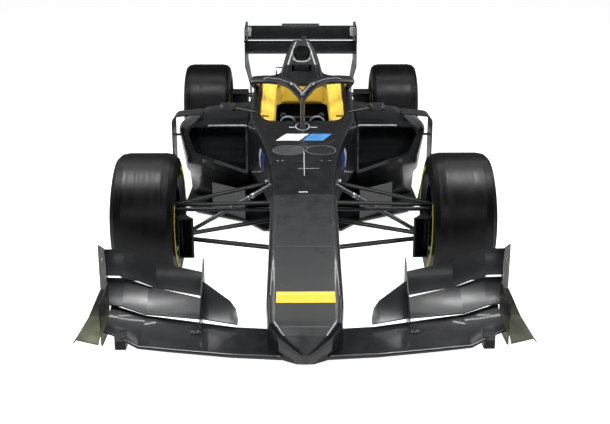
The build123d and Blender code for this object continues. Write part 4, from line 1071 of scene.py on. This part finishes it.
# %% Rear brake scoops
for side, sign in (("left", 1), ("right", -1)):
    deselect()
    bpy.ops.mesh.primitive_cube_add(
        size=1, location=place(sign * 492, 2985, 408), scale=(0.130, 0.190, 0.125)
    )
    scoop = bpy.context.object
    bpy.ops.object.transform_apply(location=True, rotation=True, scale=True)
    bpy.ops.object.mode_set(mode="EDIT")
    bpy.ops.mesh.select_mode(type="FACE")
    bpy.ops.mesh.select_all(action="DESELECT")
    bpy.ops.object.mode_set(mode="OBJECT")
    min(scoop.data.polygons, key=lambda face: face.center.y).select = True
    bpy.ops.object.mode_set(mode="EDIT")
    bpy.ops.mesh.inset(thickness=0.010)
    bpy.ops.mesh.extrude_region_move(TRANSFORM_OT_translate={"value": (0, 0.120, 0)})
    bpy.ops.mesh.select_mode(type="VERT")
    bpy.ops.object.mode_set(mode="OBJECT")
    modify(scoop, "BEVEL", width=0.004, segments=3, limit_method="ANGLE")
    settle(scoop, f"rear_brake_scoop_{side}", "root", dark_carbon)
print("scoops made")

# %% [markdown]
# A short probe stands out sideways from the air box.

# %% Side probe
deselect()
foot, normal = touch("roll_hoop", place(-600, 1790, 834), (1, 0, 0))
bpy.ops.mesh.primitive_cone_add(
    vertices=20, radius1=0.007, radius2=0.003, depth=0.055, location=foot + Vector((-0.022, 0, 0.002)),
    rotation=(0, -math.pi / 2, 0),
)
probe = bpy.context.object
modify(probe, "BEVEL", width=0.001, segments=2, limit_method="ANGLE")
settle(probe, "side_probe", "root", grey_plastic)
print("probe at", [round(v, 3) for v in foot])

# %% [markdown]
# ## The tail
# Pale strips mark the ends of the rear wing's flap, and a thin strip stands on the rear edge of the
# main plane. The rain light is a block of small round lenses, and the tail pipe ends in a rolled
# ring.

# %% Wing strips, lenses and pipe end
for side, sign in (("left", 1), ("right", -1)):
    patch(
        f"flap_strip_{side}", "rear_wing_flap", place(sign * 448, 3812, 1100), (0.026, 0.125), "Z",
        pale_plastic_and_painted_highlight, body="flap", cuts=(4, 8),
    )
bpy.ops.mesh.primitive_cube_add(size=1, location=place(0, 3697, 779.5))
strip = bpy.context.object
strip.scale = (0.990, 0.003, 0.015)
bpy.ops.object.transform_apply(location=False, rotation=False, scale=True)
modify(strip, "BEVEL", width=0.001, segments=3, limit_method="ANGLE")
settle(strip, "main_plane_edge_strip", "root", dark_carbon)
grid = [(x, z) for x in range(-27, 28, 9) for z in range(327, 380, 8)]
lenses = [("rain_light", place(x, 4300, z), (0, -1, 0)) for x, z in grid]
screws("rain_light_lenses", "root", lenses, 0.0034, 0.003, lamp_glass)
deselect()
bpy.ops.mesh.primitive_torus_add(
    location=place(0, 3440, 500), rotation=(math.pi / 2 - 0.058, 0, 0), major_radius=0.0455,
    minor_radius=0.0025, major_segments=48, minor_segments=8,
)
settle(bpy.context.object, "pipe_end_ring", "root", bare_steel, smooth=60)
print("tail dressed")
